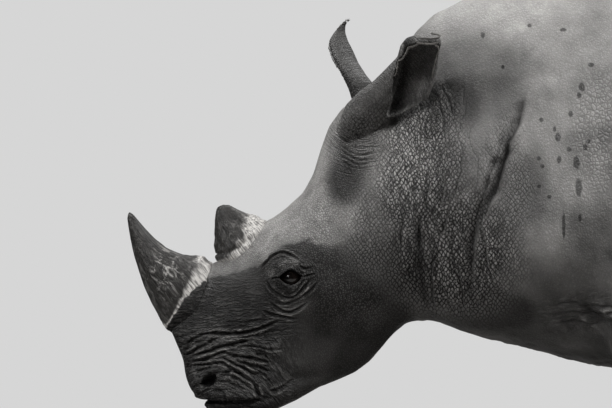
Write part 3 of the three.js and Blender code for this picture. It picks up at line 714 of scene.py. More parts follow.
@dataclass
class Hide:
    """One unbroken skin over the head, ears, neck, trunk, legs and tail."""

    nodes: dict[str, Object]
    flesh: tuple[str, ...] = ("head", "lower_jaw", "neck", "torso", "leg_", "foot_", "ear_")
    voxel: float = 0.005
    growth: float = 0.0012
    softness: float = 0.036
    sole: float = 0.003
    body_triangles: int = 50_000
    neck_triangles: int = 44_000
    face_triangles: int = 102_000
    head_end: float = -0.30
    face_end: float = -0.93
    eye: tuple[float, float, float] = (-1.2384, 0.133, 0.846)
    nostril: tuple[float, float, float] = (-1.4734, 0.122, 0.548)
    drawing: SideDrawing = SideDrawing()
    piece: Object = field(init=False, default=None)

    def build(self) -> Object:
        """Makes the skin in one piece.

        Returns:
            The skin's object.
        """
        names = [n for n in self.nodes if n.startswith(self.flesh) or n == "tail"]
        self.piece = merged_copy([self.nodes[n] for n in names], "skin")
        apply_modifier(self.piece, "DISPLACE", strength=self.growth, mid_level=0.0)
        apply_modifier(self.piece, "REMESH", mode="VOXEL", voxel_size=self.voxel)
        self.soften()
        self.shape_body()
        self.thin(self.head_end, 9.0, self.body_triangles)
        head = face_centres(self.piece)[:, 0] <= self.head_end
        edit_faces(self.piece, head, bpy.ops.mesh.subdivide, number_cuts=1)
        self.shape_head()
        self.thin(self.face_end, self.head_end, self.neck_triangles)
        self.thin(-9.0, self.face_end, self.face_triangles)
        stand(self.piece)
        activate(self.piece)
        bpy.ops.object.shade_smooth()
        self.piece.vertex_groups.clear()
        for name in names:
            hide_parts(name)
        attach(self.piece, "root")
        return self.piece

    def ear_gap(self, points: np.ndarray, reach: float) -> np.ndarray:
        """Measures how far each point lies from either ear.

        Args:
            points: places, one row each.
            reach: the distance past which it no longer matters.

        Returns:
            One distance a point, no more than the reach.
        """
        gaps = np.full(len(points), reach)
        for side in SIDES:
            ear = "ear_" + side
            gaps = np.minimum(gaps, gap_to(surface_of(self.nodes[ear]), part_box(ear), points, reach))
        return gaps

    def spot_gap(self, points: np.ndarray, spot: tuple[float, float, float]) -> np.ndarray:
        """Measures how far each point lies from a spot, or from its like on the other side."""
        folded = points * (1, 0, 1) + np.abs(points) * (0, 1, 0)
        return np.linalg.norm(folded - spot, axis=1)

    def soften(self) -> None:
        """Takes the facets out of the skin, most on the trunk and least at the eyes and ears."""
        points = read_points(self.piece)
        x, y, z = points.T
        head = ramp(x, -0.78, -0.94)
        regions = [
            (0.018, ramp(z, 0.80, 0.52)),  # the legs
            (0.008, ramp(z, 0.20, 0.12)),  # the feet
            (0.014, head),
            (0.006, ramp(x, 1.50, 1.60) * (np.abs(y) < 0.09)),  # the tail
            (0.008, head * ramp(z, 0.66, 0.54)),  # the lips
        ]
        for spot, size in ((self.eye, 0.075), (self.nostril, 0.055)):
            regions.append((0.003, ramp(self.spot_gap(points, spot), size, size * 0.55)))
        regions.append((0.004, ramp(self.ear_gap(points, 0.05), 0.05, 0.0)))
        reach = np.full(len(points), self.softness)
        for local, share in regions:
            reach = reach * (1 - share) + local * share
        set_group(self.piece, "soft", (reach / self.softness) ** 2)
        relax(self.piece, self.softness, self.voxel, "soft")
        points = read_points(self.piece) - read_normals(self.piece) * self.growth
        points[:, 2] = np.where(points[:, 2] < self.sole, 0.0, points[:, 2])
        write_points(self.piece, points)

    def thin(self, start: float, end: float, triangles: int) -> None:
        """Merges the smallest faces of a slice until it has a given number of triangles.

        Args:
            start: where the slice starts along the animal.
            end: where it ends.
            triangles: how many are left.
        """
        for _ in range(3):
            middle = face_centres(self.piece)[:, 0]
            chosen = (middle > start) & (middle <= end)
            corners = np.empty(len(self.piece.data.polygons), np.int32)
            self.piece.data.polygons.foreach_get("loop_total", corners)
            count = int((corners[chosen] - 2).sum())
            if count <= triangles * 1.02:
                break
            edit_faces(self.piece, chosen, bpy.ops.mesh.decimate, ratio=triangles / count)
        LOG.info("skin from %.2f to %.2f: %d triangles", start, end, count)

    def crease(self, folds: tuple[Fold, ...], points: np.ndarray, allowed: np.ndarray,
               wander: float) -> tuple[np.ndarray, np.ndarray]:
        """Adds up what a set of folds does to the skin on both sides.

        Args:
            folds: the folds.
            points: the skin's points.
            allowed: one strength a point.
            wander: how far a fold strays from its line, in metres.

        Returns:
            The height in metres and the depth in a groove from 0 to 1, one of each a point.
        """
        flat = self.drawing.flat(points)
        lines = np.concatenate([np.array(fold.path) for fold in folds])
        margin = wander + FOLD_REACH * max(fold.width for fold in folds)
        near = within(flat, lines, margin) & (allowed > 0.01)
        for axis, seed in ((0, 13), (1, 15)):
            flat[near, axis] += wander * (2 * Unevenness(seed).at(points[near], 0.026) - 1)
        height = np.zeros(len(points))
        groove = np.zeros(len(points))
        waver = Unevenness(11).at(points, 0.03)
        for fold in folds:
            chosen = np.flatnonzero(within(flat, np.array(fold.path), fold.width * FOLD_REACH) & near)
            if len(chosen):
                up, deep = fold.relief(flat[chosen], waver[chosen])
                height[chosen] += up * allowed[chosen]
                groove[chosen] = np.maximum(groove[chosen], deep * allowed[chosen])
        return height, groove

    def shape_body(self) -> None:
        """Gives the trunk and legs their folds, leg creases and slight unevenness."""
        points = read_points(self.piece)
        normals = read_normals(self.piece)
        facing = ramp(np.abs(normals[:, 1]), 0.1, 0.5)
        height, groove = self.crease(BODY_FOLDS, points, facing * (points[:, 0] > -0.62), 0.008)
        for leg, rings in (("fore", FORE_RINGS), ("hind", HIND_RINGS)):
            for side in SIDES:
                self.ring_leg(f"leg_{leg}_{side}_lower", rings, points, normals, height, groove)
        x, _, z = points.T
        trunk = ramp(x, -0.45, -0.1) * ramp(z, 0.35, 0.6)
        rough = Unevenness(3).at(points, (0.16, 0.16, 0.20)) - 0.5
        ribs = Unevenness(5).at(points, (0.055, 0.2, 0.5)) - 0.5
        belly = ramp(z, 1.1, 0.8) * ramp(x, 0.0, 0.15) * ramp(x, 1.05, 0.95)
        height += trunk * (0.010 * rough + 0.006 * ribs * belly)
        height -= 0.0035 * trunk
        moved = points + normals * height[:, None]
        moved[:, 2] = np.where(points[:, 2] <= 0.0, 0.0, np.maximum(moved[:, 2], 0.0))
        write_points(self.piece, moved)
        # Kept for the finish: painted shade in the fold floors and painted highlight on their crests.
        store(self.piece, Mask.CREASE.value, groove)
        store(self.piece, Mask.CREST.value, ramp(height, 0.002, 0.006))

    def ring_leg(self, node: str, rings: tuple[Ring, ...], points: np.ndarray,
                 normals: np.ndarray, height: np.ndarray, groove: np.ndarray) -> None:
        """Adds a leg's creases to the running height and groove.

        Args:
            node: the solid of the lower leg, which says where the leg is.
            rings: the creases.
            points: the skin's points.
            normals: their normals.
            height: metres, changed in place.
            groove: from 0 to 1, changed in place.
        """
        low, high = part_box(node)
        middle = (low[0] + high[0]) / 2
        side = math.copysign(1.0, low[1])
        chosen = np.flatnonzero(
            (points[:, 0] > low[0] - 0.06) & (points[:, 0] < high[0] + 0.06)
            & (points[:, 2] < high[2] + 0.12) & (points[:, 1] * side > 0.02)
        )
        here = points[chosen]
        waver = Unevenness(17).at(here, (0.05, 0.05, 0.02))
        for ring in rings:
            at = ring.height + ring.slope * (here[:, 0] - middle) + 0.02 * (waver - 0.5)
            q = (here[:, 2] - at) / ring.width
            strength = ramp(normals[chosen, 0] * ring.forward, -0.9, 0.6)
            cut = bell(q) * strength
            lips = bell((np.abs(q) - 2.1) / 1.1) * strength
            height[chosen] += ring.depth * (0.34 * lips - cut) * (0.6 + 0.8 * waver)
            groove[chosen] = np.maximum(groove[chosen], cut)

    def shape_head(self) -> None:
        """Gives the head and neck their folds, lids, lips and horn collars."""
        points = read_points(self.piece)
        head = ramp(points[:, 0], self.head_end, self.head_end - 0.05)
        set_group(self.piece, "head", head)
        apply_modifier(self.piece, "SMOOTH", factor=1.0, iterations=4, vertex_group="head")
        points = read_points(self.piece)
        normals = read_normals(self.piece)
        facing = ramp(np.abs(normals[:, 1]), 0.12, 0.45)
        ear = ramp(self.ear_gap(points, 0.02), 0.012, 0.004)
        height = np.zeros(len(points))
        groove = np.zeros(len(points))
        for folds, wander in HEAD_FOLDS:
            more, deeper = self.crease(folds, points, facing * (1 - ear), wander)
            height += more
            groove = np.maximum(groove, deeper)
        # The folds' crests, kept for a painted highlight.
        crest = ramp(height, 0.0005, 0.0045)
        for part in (self.mouth, self.collars, self.lids, self.wings):
            more, deeper = part(points, normals)
            height += more
            groove = np.maximum(groove, deeper)
        x, _, z = points.T
        muzzle = ramp(x, -1.20, -1.35) * ramp(z, 0.74, 0.66)
        neck = ramp(x, -1.0, -0.9) * (1 - ear) * head
        course = self.flow(points)[0]
        ridge = np.abs(Unevenness(21).at(course, (0.060, 0.012, 0.10)) - 0.5)
        height += muzzle * facing * (0.0030 - 0.0062 * np.exp(-ridge / 0.06))
        height += 0.0050 * neck * (Unevenness(23).at(points, (0.022, 0.022, 0.06)) - 0.5)
        moved = points + normals * height[:, None]
        near = ramp(self.spot_gap(points, self.eye), 0.062, 0.036)
        aside = np.clip((points[:, 0] - self.eye[0]) / 0.034, -1, 1)
        moved[:, 2] += near * (0.36 - 0.90 * aside**2) * (points[:, 2] - self.eye[2] + 0.002)
        moved[:, 0] += near * 0.15 * (points[:, 0] - self.eye[0])
        write_points(self.piece, moved)
        # Kept for the finish: painted shade in the fold floors and painted highlight on their crests.
        groove = np.maximum(groove, recall(self.piece, Mask.CREASE.value))
        store(self.piece, Mask.CREASE.value, groove)
        store(self.piece, Mask.CREST.value, np.maximum(crest, recall(self.piece, Mask.CREST.value)))

    def flow(self, points: np.ndarray) -> tuple[np.ndarray, np.ndarray, np.ndarray]:
        """Gives coordinates that follow the wrinkles of the face, in metres.

        Args:
            points: the skin's points.

        Returns:
            Places whose second number grows across the wrinkles, for the muzzle, where they
            arch over the nostril, and for the rings round each eye and under each ear, and
            the side drawing, squeezed in height as the neck's diamonds are tall.
        """
        flat = self.drawing.flat(points)
        x, z = flat.T
        behind = x + 1.44
        arch = 3.0 * ramp(z, 0.69, 0.50) * np.clip(np.abs(behind), 0, 0.18) ** 2
        muzzle = np.stack([x, z + arch - 0.10 * ramp(z, 0.60, 0.72) * behind, points[:, 1]], axis=1)
        eye = (flat - DRAWN_EYE) / (1.25, 1.0)
        ear = flat - DRAWN_EAR
        away = np.where((z < 1.05)[:, None], eye, ear)
        distance = np.linalg.norm(away, axis=1)
        turn = np.arctan2(away[:, 1], away[:, 0])
        rings = np.stack([0.09 * np.cos(turn), distance, 0.09 * np.sin(turn)], axis=1)
        return muzzle, rings, np.stack([x, 0.78 * z, points[:, 1]], axis=1)

    def mouth(self, points: np.ndarray, normals: np.ndarray) -> tuple[np.ndarray, np.ndarray]:
        """Parts the lips along one line that runs round the muzzle to the mouth's corners.

        Args:
            points: the skin's points.
            normals: their normals.

        Returns:
            The height in metres and the depth in a groove from 0 to 1, one of each a point.
        """
        x, _, z = points.T
        line = 0.490 + 0.10 * np.clip(x + 1.37, 0, None) - 0.02 * np.clip(-1.45 - x, 0, None)
        q = (z - line) / 0.005
        strength = ramp(x, -1.325, -1.345) * ramp(normals[:, 2], -0.95, -0.7)
        cut = bell(q) * strength
        lips = bell((np.abs(q) - 2.4) / 1.3) * strength
        return 0.004 * lips - 0.013 * cut, cut

    def collars(self, points: np.ndarray, normals: np.ndarray) -> tuple[np.ndarray, np.ndarray]:
        """Swells the skin into a ragged collar where it meets each horn.

        Args:
            points: the skin's points.
            normals: their normals, not used.

        Returns:
            The height in metres and the depth in a groove from 0 to 1, one of each a point.
        """
        height = np.zeros(len(points))
        groove = np.zeros(len(points))
        waver = Unevenness(31).at(points, 0.018)
        flat = self.drawing.flat(points)
        above = ramp(flat[:, 1] - self.brow(flat[:, 0]), -0.006, 0.006)
        for name, free in (("horn_front", above), ("horn_rear", 1.0)):
            gap = gap_to(surface_of(self.nodes[name]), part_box(name), points, 0.05)
            q = (gap - 0.004) / 0.008
            height += (0.002 + 0.004 * waver) * bell(q) * (0.3 + 0.7 * free)
            groove = np.maximum(groove, 0.6 * ramp(gap, 0.004, 0.0) * free)
        return height, groove

    def lids(self, points: np.ndarray, normals: np.ndarray) -> tuple[np.ndarray, np.ndarray]:
        """Rolls the edge of each lid outwards and swells the upper lid and the bag under the eye.

        Args:
            points: the skin's points.
            normals: their normals.

        Returns:
            The height in metres and the depth in a groove from 0 to 1, one of each a point.
        """
        gap = self.spot_gap(points, self.eye)
        q = (gap - 0.036) / 0.006
        outward = np.abs(normals[:, 1]) > 0.2
        flat = self.drawing.flat(points)
        upper = np.linalg.norm((flat - (-1.243, 0.882)) / (0.038, 0.016), axis=1)
        bag = np.linalg.norm((flat - (-1.232, 0.812)) / (0.034, 0.012), axis=1)
        height = 0.0008 * bell(q) + 0.006 * bell(upper) + 0.003 * bell(bag)
        height *= outward
        # The lids' edges are darkened through the same mask as the fold floors.
        groove = 0.9 * ramp(gap, 0.0355, 0.0335)
        return height, groove

    def wings(self, points: np.ndarray, normals: np.ndarray) -> tuple[np.ndarray, np.ndarray]:
        """Raises the wing in front of each nostril and the rim above it.

        Args:
            points: the skin's points.
            normals: their normals.

        Returns:
            The height in metres and the depth in a groove from 0 to 1, one of each a point.
        """
        wing = self.spot_gap(points, (-1.497, 0.112, 0.536))
        rim = self.spot_gap(points, (-1.462, 0.125, 0.577))
        height = 0.003 * bell(wing / 0.022) + 0.004 * bell(rim / 0.02)
        front = ramp(normals[:, 0], -0.25, -0.8) * (points[:, 0] < -1.42)
        height += 0.007 * front * bell((points[:, 2] - 0.555) / 0.045)
        return height, np.zeros(len(points))

    def paint(self) -> None:
        """Keeps on the skin what the finish reads."""
        points = read_points(self.piece)
        normals = read_normals(self.piece)
        for mask, values in self.strengths(points, normals).items():
            store(self.piece, mask.value, values)
        # Painted shade where skin close by hides the sky, mostly kept off the ears.
        bare = 1 - 0.9 * ramp(self.ear_gap(points, 0.03), 0.020, 0.004)
        store(self.piece, Mask.SHELTER.value, self.shelter(points, normals) * bare)
        for course, places in zip(Course, self.flow(points)):
            store_places(self.piece, course.value, places)

    def strengths(self, points: np.ndarray, normals: np.ndarray) -> dict[Mask, np.ndarray]:
        """Works out how strong each mark of the hide is at any place of the surface, painted light and shade
        among them.

        Args:
            points: places, one row each.
            normals: the surface's normals there.

        Returns:
            One number from 0 to 1 a point for each mask that depends on the place alone.
        """
        flat = self.drawing.flat(points)
        x, _, z = points.T
        ear = ramp(self.ear_gap(points, 0.03), 0.020, 0.004) * (z > 1.25)
        patchy = Unevenness(41).at(points, 0.07)
        blotch = Unevenness(43).at(points, 0.19)
        mottle = 0.6 * Unevenness(51).at(points, 0.016) + 0.4 * Unevenness(57).at(points, 0.006)

        def around(middle: tuple, radii: tuple, edge: float = 0.5) -> np.ndarray:
            """Gives 1 inside an oval of the side drawing, falling to 0 past it."""
            away = np.linalg.norm((flat - middle) / radii, axis=1)
            return ramp(away, 1 + edge, 1 - edge)

        head = ramp(x, -0.86, -0.98)
        facing = ramp(np.abs(normals[:, 1]), 0.35, 0.7)
        net = np.maximum.reduce([
            around((-0.87, 1.15), (0.13, 0.24)),
            around((-0.77, 0.92), (0.19, 0.18)),
            0.45 * around((-0.62, 1.08), (0.08, 0.22)),
            0.55 * around((-0.98, 0.98), (0.12, 0.14)),
        ]) * facing * (1 - ear) * (0.8 + 0.3 * patchy)
        net = np.maximum(net, 0.45 * ear * ramp(z, 1.40, 1.28))
        cell = (0.16 + 0.30 * patchy) * ramp(x, -0.4, 0.0) + 0.24
        cell += 0.22 * ramp(z, 0.9, 0.5) * ramp(x, -0.5, 0.0)
        cell = np.maximum(cell, 0.6 * around((-0.34, 1.28), (0.09, 0.18)))
        cell = cell * (1 - ear) * (1 - 0.7 * head) * (1 - net)
        pebble = np.maximum.reduce([
            around((-1.43, 0.515), (0.11, 0.055)),
            0.5 * ear, 0.9 * around((-1.045, 1.20), (0.10, 0.11)),
            0.7 * around(DRAWN_EYE, (0.09, 0.09)),
            0.75 * around((-1.05, 0.95), (0.20, 0.26)),
        ])
        forehead = ramp(z - self.brow(x), 0.0, 0.02) * ramp(x, -1.10, -1.20)
        pebble = np.maximum(pebble, 0.24 + 0.35 * forehead) * (1 - net)
        line = ramp(x, -1.16, -1.34) * ramp(z, 0.90, 0.70)
        line = np.maximum(line, 0.5 * around((-0.38, 0.745), (0.16, 0.06)))
        ring = around(DRAWN_EYE, (0.085, 0.080), 0.3)
        ring = np.maximum(ring, around((-1.045, 1.225), (0.085, 0.095), 0.45))
        ring = np.maximum(ring, 0.55 * ear)
        pleat = np.maximum.reduce([
            around((-0.86, 0.98), (0.10, 0.24)),
            0.9 * around((-0.82, 1.22), (0.11, 0.20)),
            0.6 * around((-0.70, 1.00), (0.10, 0.26)),
            0.6 * around((-1.045, 1.215), (0.07, 0.06)),
        ]) * (1 - ear)
        # Paler where the skin faces up: dust, and painted light. Of the ovals below, those on the neck under
        # the ear, at the ear's foot and on the upper lid are painted light.
        pale = ramp(normals[:, 2], -0.1, 0.75) * (0.55 + 0.45 * blotch)
        pale = np.maximum.reduce([
            pale,
            ramp(z - self.brow(x), 0.0, 0.02) * ramp(x, -1.04, -1.16) * (0.05 + 1.5 * mottle),
            1.00 * around((-0.89, 1.20), (0.11, 0.13)),
            0.65 * around((-1.09, 1.01), (0.05, 0.05)),
            0.45 * around((-1.00, 1.29), (0.11, 0.09)),
            0.60 * around((-0.50, 0.955), (0.07, 0.06)),
            0.70 * around((-1.245, 0.884), (0.030, 0.016)),
            0.50 * around((-1.299, 0.858), (0.012, 0.016)),
            0.60 * around((-1.42, 0.53), (0.07, 0.035)),
        ]) * (0.75 + 0.5 * patchy) * (1 - 0.5 * ear * ramp(z, 1.25, 1.36))
        # Painted light on the near ear only: its back, rims, hem and lobe.
        pale = np.maximum(pale, 0.55 * ear * blotch * (points[:, 1] < 0) * ramp(z, 1.26, 1.40))
        pale = np.maximum(pale, ear * (points[:, 1] < 0) * self.ear_marks(flat)[1])
        marks = {
            Mask.NET: net, Mask.CELL: cell, Mask.PEBBLE: pebble, Mask.LINE: line, Mask.RING: ring,
            Mask.PLEAT: pleat, Mask.PALE: pale, Mask.DARK: self.damp_and_shade(points, normals, ear),
            Mask.DULL: ramp(normals[:, 2], 0.1, -0.5),
        }
        return {mask: np.clip(values, 0, 1) for mask, values in marks.items()}

    def damp_and_shade(self, points: np.ndarray, normals: np.ndarray, ear: np.ndarray) -> np.ndarray:
        """Works out where the skin is dark: wet, muddy skin of the face below the brow, and painted shade
        round the eye, on the ears, under the neck and on the underside.

        Args:
            points: the skin's points.
            normals: their normals.
            ear: how much each point belongs to an ear.

        Returns:
            One strength a point.
        """
        flat = self.drawing.flat(points)
        x, z = flat.T
        patchy = Unevenness(45).at(points, 0.05)
        broken = Unevenness(49).at(points, 0.12)
        edge = 0.003 + 0.05 * ramp(x, -1.16, -1.06)
        mark = self.brow(x) + 0.020 * (Unevenness(47).at(points, 0.018) - 0.5)
        face = ramp(z, mark + edge, mark - edge) * ramp(x, -0.76, -0.92)
        # Painted shade round the eye.
        face = np.maximum(face, ramp(self.spot_gap(points, self.eye), 0.048, 0.036))

        def patch(middle: tuple, radii: tuple) -> np.ndarray:
            """Gives 1 in an oval of the side drawing, falling softly to 0 past it."""
            return ramp(np.linalg.norm((flat - middle) / radii, axis=1) + 0.5 * (broken - 0.5), 1.4, 0.5)

        # Takes the dark off the upper lid, where it is painted light as it faces up, and off spots by the
        # eye's front corner, on the lip, in front of the nostril, on the muzzle's top and below the eye.
        face *= 1 - np.maximum.reduce([
            0.65 * patch((-1.240, 0.886), (0.032, 0.016)),
            0.50 * patch((-1.299, 0.858), (0.012, 0.016)),
            0.55 * patch((-1.43, 0.528), (0.07, 0.030)),
            0.40 * patch((-1.495, 0.575), (0.03, 0.05)),
            0.30 * patch((-1.45, 0.63), (0.08, 0.04)),
            0.35 * patch((-1.232, 0.775), (0.05, 0.03)),
        ])
        # Painted shade on what faces down and on the lower front of the neck and chest.
        low = ramp(normals[:, 2], 0.25, -0.75) * (0.6 + 0.4 * patchy)
        under = ramp(z, 1.02, 0.74) * ramp(x, 0.0, -0.5) * (0.65 + 0.35 * patchy)
        # Painted shade in the near ear's cup and all over the far ear.
        cup, rims = self.ear_marks(flat)
        cup = cup * (points[:, 1] < 0)
        stalk = 0.40 * ramp(broken, 0.3, 0.7) * ramp(z, 1.24, 1.36)
        stalk = np.where(points[:, 1] > 0, 0.8, stalk * (1 - rims))
        # Painted shade also in the temple's oval, the band under the neck's bulge, the neck's valleys and the
        # oval behind the ear.
        return np.maximum.reduce([
            face * (0.85 + 0.25 * patchy),
            patch((-1.088, 1.125), (0.056, 0.070)),
            0.85 * NECK_BAND.relief(flat, patchy)[1],
            0.75 * VALLEYS[0].relief(flat, patchy)[1] * ramp(z, 1.34, 1.12),
            0.70 * VALLEYS[1].relief(flat, patchy)[1],
            0.60 * patch((-0.69, 1.45), (0.17, 0.12)),
            0.95 * patch((-0.76, 1.35), (0.10, 0.08)),
            0.55 * patch((-0.55, 1.14), (0.05, 0.10)),
            0.45 * patch((-0.38, 0.92), (0.10, 0.12)),
            0.95 * patch((-0.66, 0.74), (0.20, 0.09)),
            0.85 * low, 0.92 * under, ear * np.maximum(stalk, cup),
        ])

    def brow(self, along: np.ndarray) -> np.ndarray:
        """Gives the height of the line on the side drawing above which the face is pale."""
        return np.interp(along,
                         (-1.600, -1.590, -1.544, -1.497, -1.462, -1.428, -1.372, -1.323, -1.306, -1.280,
                          -1.254, -1.213, -1.193, -1.164, -1.132, -1.082, -1.03, -0.98),
                         (0.700, 0.714, 0.786, 0.827, 0.841, 0.850, 0.870, 0.882, 0.902, 0.925,
                          0.940, 0.953, 0.952, 0.931, 0.925, 0.930, 0.955, 0.985))

    def ear_marks(self, flat: np.ndarray) -> tuple[np.ndarray, np.ndarray]:
        """Draws the painted shade of the ear's cup behind its front rim, and painted light on its rims, hem
        and lobe.

        Args:
            flat: places on the side drawing.

        Returns:
            How much painted shade and how much painted light each place of an ear gets, from 0 to 1.
        """
        x, z = flat.T
        inward = x - np.interp(z, (1.320, 1.430, 1.537), (-0.958, -0.926, -0.914))
        dark = ramp(inward, 0.000, 0.005) * ramp(inward, 0.055, 0.018)
        rim = bell(inward / 0.0035) * (x > -1.0)
        lobe = np.linalg.norm((flat - (-0.848, 1.392)) / (0.040, 0.034), axis=1)
        pale = np.maximum.reduce([
            0.8 * rim, 0.3 * ramp(z, 1.530, 1.550),
            0.9 * EAR_HEM.relief(flat, np.full(len(x), 0.6))[1], ramp(lobe, 1.4, 0.5) * (1 - dark),
        ])
        return dark, pale

    def shelter(self, points: np.ndarray, normals: np.ndarray, reach: float = 0.09) -> np.ndarray:
        """Finds how much of the sky over each point of the head is hidden by skin close by.

        Args:
            points: the skin's points.
            normals: their normals.
            reach: how far off skin still shelters, in metres.

        Returns:
            One share a point, 0 in the open and 1 where all is hidden.
        """
        tree = surface_of(self.piece)
        draw = np.random.default_rng(53)
        ways = draw.normal(size=(12, 3))
        ways /= np.linalg.norm(ways, axis=1)[:, None]
        hidden = np.zeros(len(points))
        for i in np.flatnonzero(points[:, 0] < self.head_end):
            start = Vector(points[i] + normals[i] * 0.002)
            hits = 0
            for way in ways + normals[i] * 1.05:
                if tree.ray_cast(start, Vector(way), reach)[3] is not None:
                    hits += 1
            hidden[i] = hits / len(ways)
        return hidden

    def dress(self) -> None:
        """Puts the hide's finish on the skin."""
        self.paint()
        self.piece.data.materials.append(HideFinish().make())


@dataclass(frozen=True)
class HideFinish:
    """Dry rhinoceros hide: thick grown skin, matt and dusted, cracked into small cells, with painted light,
    shade and highlights in its colour.
    """

    slate: str = "#5b5a59"
    # Dust, also the colour of painted light and painted highlights.
    dust_and_highlight: str = "#bcbab7"
    # Wet skin, also the colour of painted shade.
    damp_and_shade: str = "#242322"
    # The cracks, also the colour of painted shade in folds and hollows.
    crack: str = "#0e0d0d"
    diamond_mm: float = 9.2
    coarse_mm: float = 11.0
    fine_mm: float = 6.0
    grain_mm: float = 2.2  # the pores are under 1 mm: one that fine wouldn't show
    drift_mm: float = 1000 / 28  # the cells of the skin wander over about 36 mm
    dust_mm: float = 1000 / 7  # dust lies in clouds of about 140 mm
    blotch_mm: float = 1000 / 3.2  # and in patches of about 310 mm
    ragged_mm: float = 1000 / 90  # the edge of a drip waves over about 11 mm
    skin_out: float = 0.42  # how far the shoulder stands out from the middle plane, in metres

    # A drip's place across and down the side drawing and half its width and height, in units
    # of the size below, and the place of the drawing's upper left corner in metres.
    drip_unit: float = 0.0029
    drip_corner: tuple[float, float] = (-2.083, 1.6475)
    drips: tuple[tuple[float, float, float, float], ...] = (
        (585, 86, 3, 4), (582, 94, 2, 3), (573, 113, 2, 3), (544, 119, 2, 2), (557, 128, 1.5, 3),
        (560, 137, 2.5, 4), (590, 141, 2, 2), (587, 147, 2, 3), (571, 149, 2, 2), (541, 158, 2, 2),
        (561, 159, 2, 4), (578, 162, 3, 6), (544, 166, 2, 2), (580, 187, 3, 8), (541, 186, 2, 2),
        (551, 197, 2, 2), (581, 218, 1.5, 4), (565, 226, 1.5, 12), (488, 30, 2, 3), (535, 21, 2, 2),
        (569, 26, 3, 2), (507, 64, 1.5, 2), (595, 63, 3, 2),
    )

    def make(self) -> bpy.types.Material:
        """Builds the material.

        Returns:
            The material.
        """
        material, tree, shader = new_material("dry_grey_hide")
        place = add_node(tree, "TexCoord").outputs["Object"]
        mask = {m: add_node(tree, "Attribute", {"attribute_name": m.value}).outputs["Fac"] for m in Mask}
        cracks, height, top_highlights = self.relief(tree, place, mask)
        colour, rough = self.colours(tree, place, mask, cracks, top_highlights)
        tree.links.new(colour, shader.inputs["Base Color"])
        tree.links.new(rough, shader.inputs["Roughness"])
        shader.inputs["IOR"].default_value = 1.45
        sheen = add_node(tree, "MapRange", None, {"Value": mask[Mask.DULL], "To Min": 0.46, "To Max": 0.08})
        tree.links.new(sheen.outputs[0], shader.inputs["Specular IOR Level"])
        bump = add_node(tree, "Bump", None, {"Strength": 1.0, "Distance": 0.001, "Height": height})
        tree.links.new(bump.outputs["Normal"], shader.inputs["Normal"])
        return material

    def relief(self, tree: Tree, place: Socket, mask: dict[Mask, Socket]) -> tuple[Socket, Socket, Socket]:
        """Adds the cells, wrinkles and grain.

        Args:
            tree: the node tree.
            place: the object coordinates.
            mask: the painted strengths.

        Returns:
            How cracked each place is, from 0 to 1, its height in millimetres, and the painted highlight
            that the top of a cell, a grain or a wrinkle gets, from 0 to 1.
        """
        drift = add_node(tree, "TexNoise", None,
                         {"Vector": place, "Scale": 1000 / self.drift_mm, "Detail": 2.0})
        drift = add_node(tree, "VectorMath", {"operation": "SUBTRACT"},
                         {0: drift.outputs["Color"], 1: (0.5, 0.5, 0.5)})
        drift = add_node(tree, "VectorMath", {"operation": "SCALE"},
                         {0: drift.outputs[0], "Scale": 0.009}).outputs[0]
        loose = add_node(tree, "VectorMath", PLUS, {0: place, 1: drift}).outputs[0]
        muzzle, rings, side = (
            add_node(tree, "Attribute", {"attribute_name": c.value}).outputs["Vector"] for c in Course)
        side = add_node(tree, "VectorMath", PLUS, {0: side, 1: drift}).outputs[0]

        def cells(source: Socket, size_mm: float, stretch: tuple) -> Socket:
            """Gives the distance to the nearest crack between cells of a size."""
            spread = add_node(tree, "Mapping", None, {"Vector": source, "Scale": stretch})
            return add_node(tree, "TexVoronoi", {"feature": "DISTANCE_TO_EDGE"},
                            {"Vector": spread.outputs[0], "Scale": 1000 / size_mm}).outputs["Distance"]

        def wrinkles(source: Socket, pitch: tuple) -> Socket:
            """Adds long thin wrinkles.

            Args:
                source: the places that they follow.
                pitch: how far apart they are along each axis, in metres.

            Returns:
                The distance from the nearest one.
            """
            spread = add_node(tree, "Mapping", None,
                              {"Vector": source, "Scale": tuple(1 / p for p in pitch)}).outputs[0]
            cloud = add_node(tree, "TexNoise", None, {"Vector": spread, "Scale": 1.0, "Detail": 2.0})
            away = add_node(tree, "Math", {"operation": "SUBTRACT"}, {0: cloud.outputs["Fac"], 1: 0.5})
            return add_node(tree, "Math", {"operation": "ABSOLUTE"}, {0: away.outputs[0]}).outputs[0]

        def tilted(source: Socket, angle: float) -> Socket:
            """Turns places about their third axis."""
            return add_node(tree, "Mapping", None,
                            {"Vector": source, "Rotation": (0, 0, angle)}).outputs[0]

        diamonds = add_node(tree, "TexVoronoi",
                            {"feature": "DISTANCE_TO_EDGE", "voronoi_dimensions": "2D"},
                            {"Vector": tilted(side, math.pi / 4), "Scale": 1000 / self.diamond_mm,
                             "Randomness": 0.62}).outputs["Distance"]
        grains = cells(loose, self.fine_mm, (1.0, 1.0, 0.9))
        runs = wrinkles(muzzle, (0.036, 0.0095, 0.040))
        slants = [wrinkles(tilted(side, angle), (0.012, 0.060, 0.050)) for angle in (0.50, -0.42)]
        braids = [wrinkles(tilted(muzzle, angle), (0.032, 0.0070, 0.030)) for angle in (0.38, -0.38)]

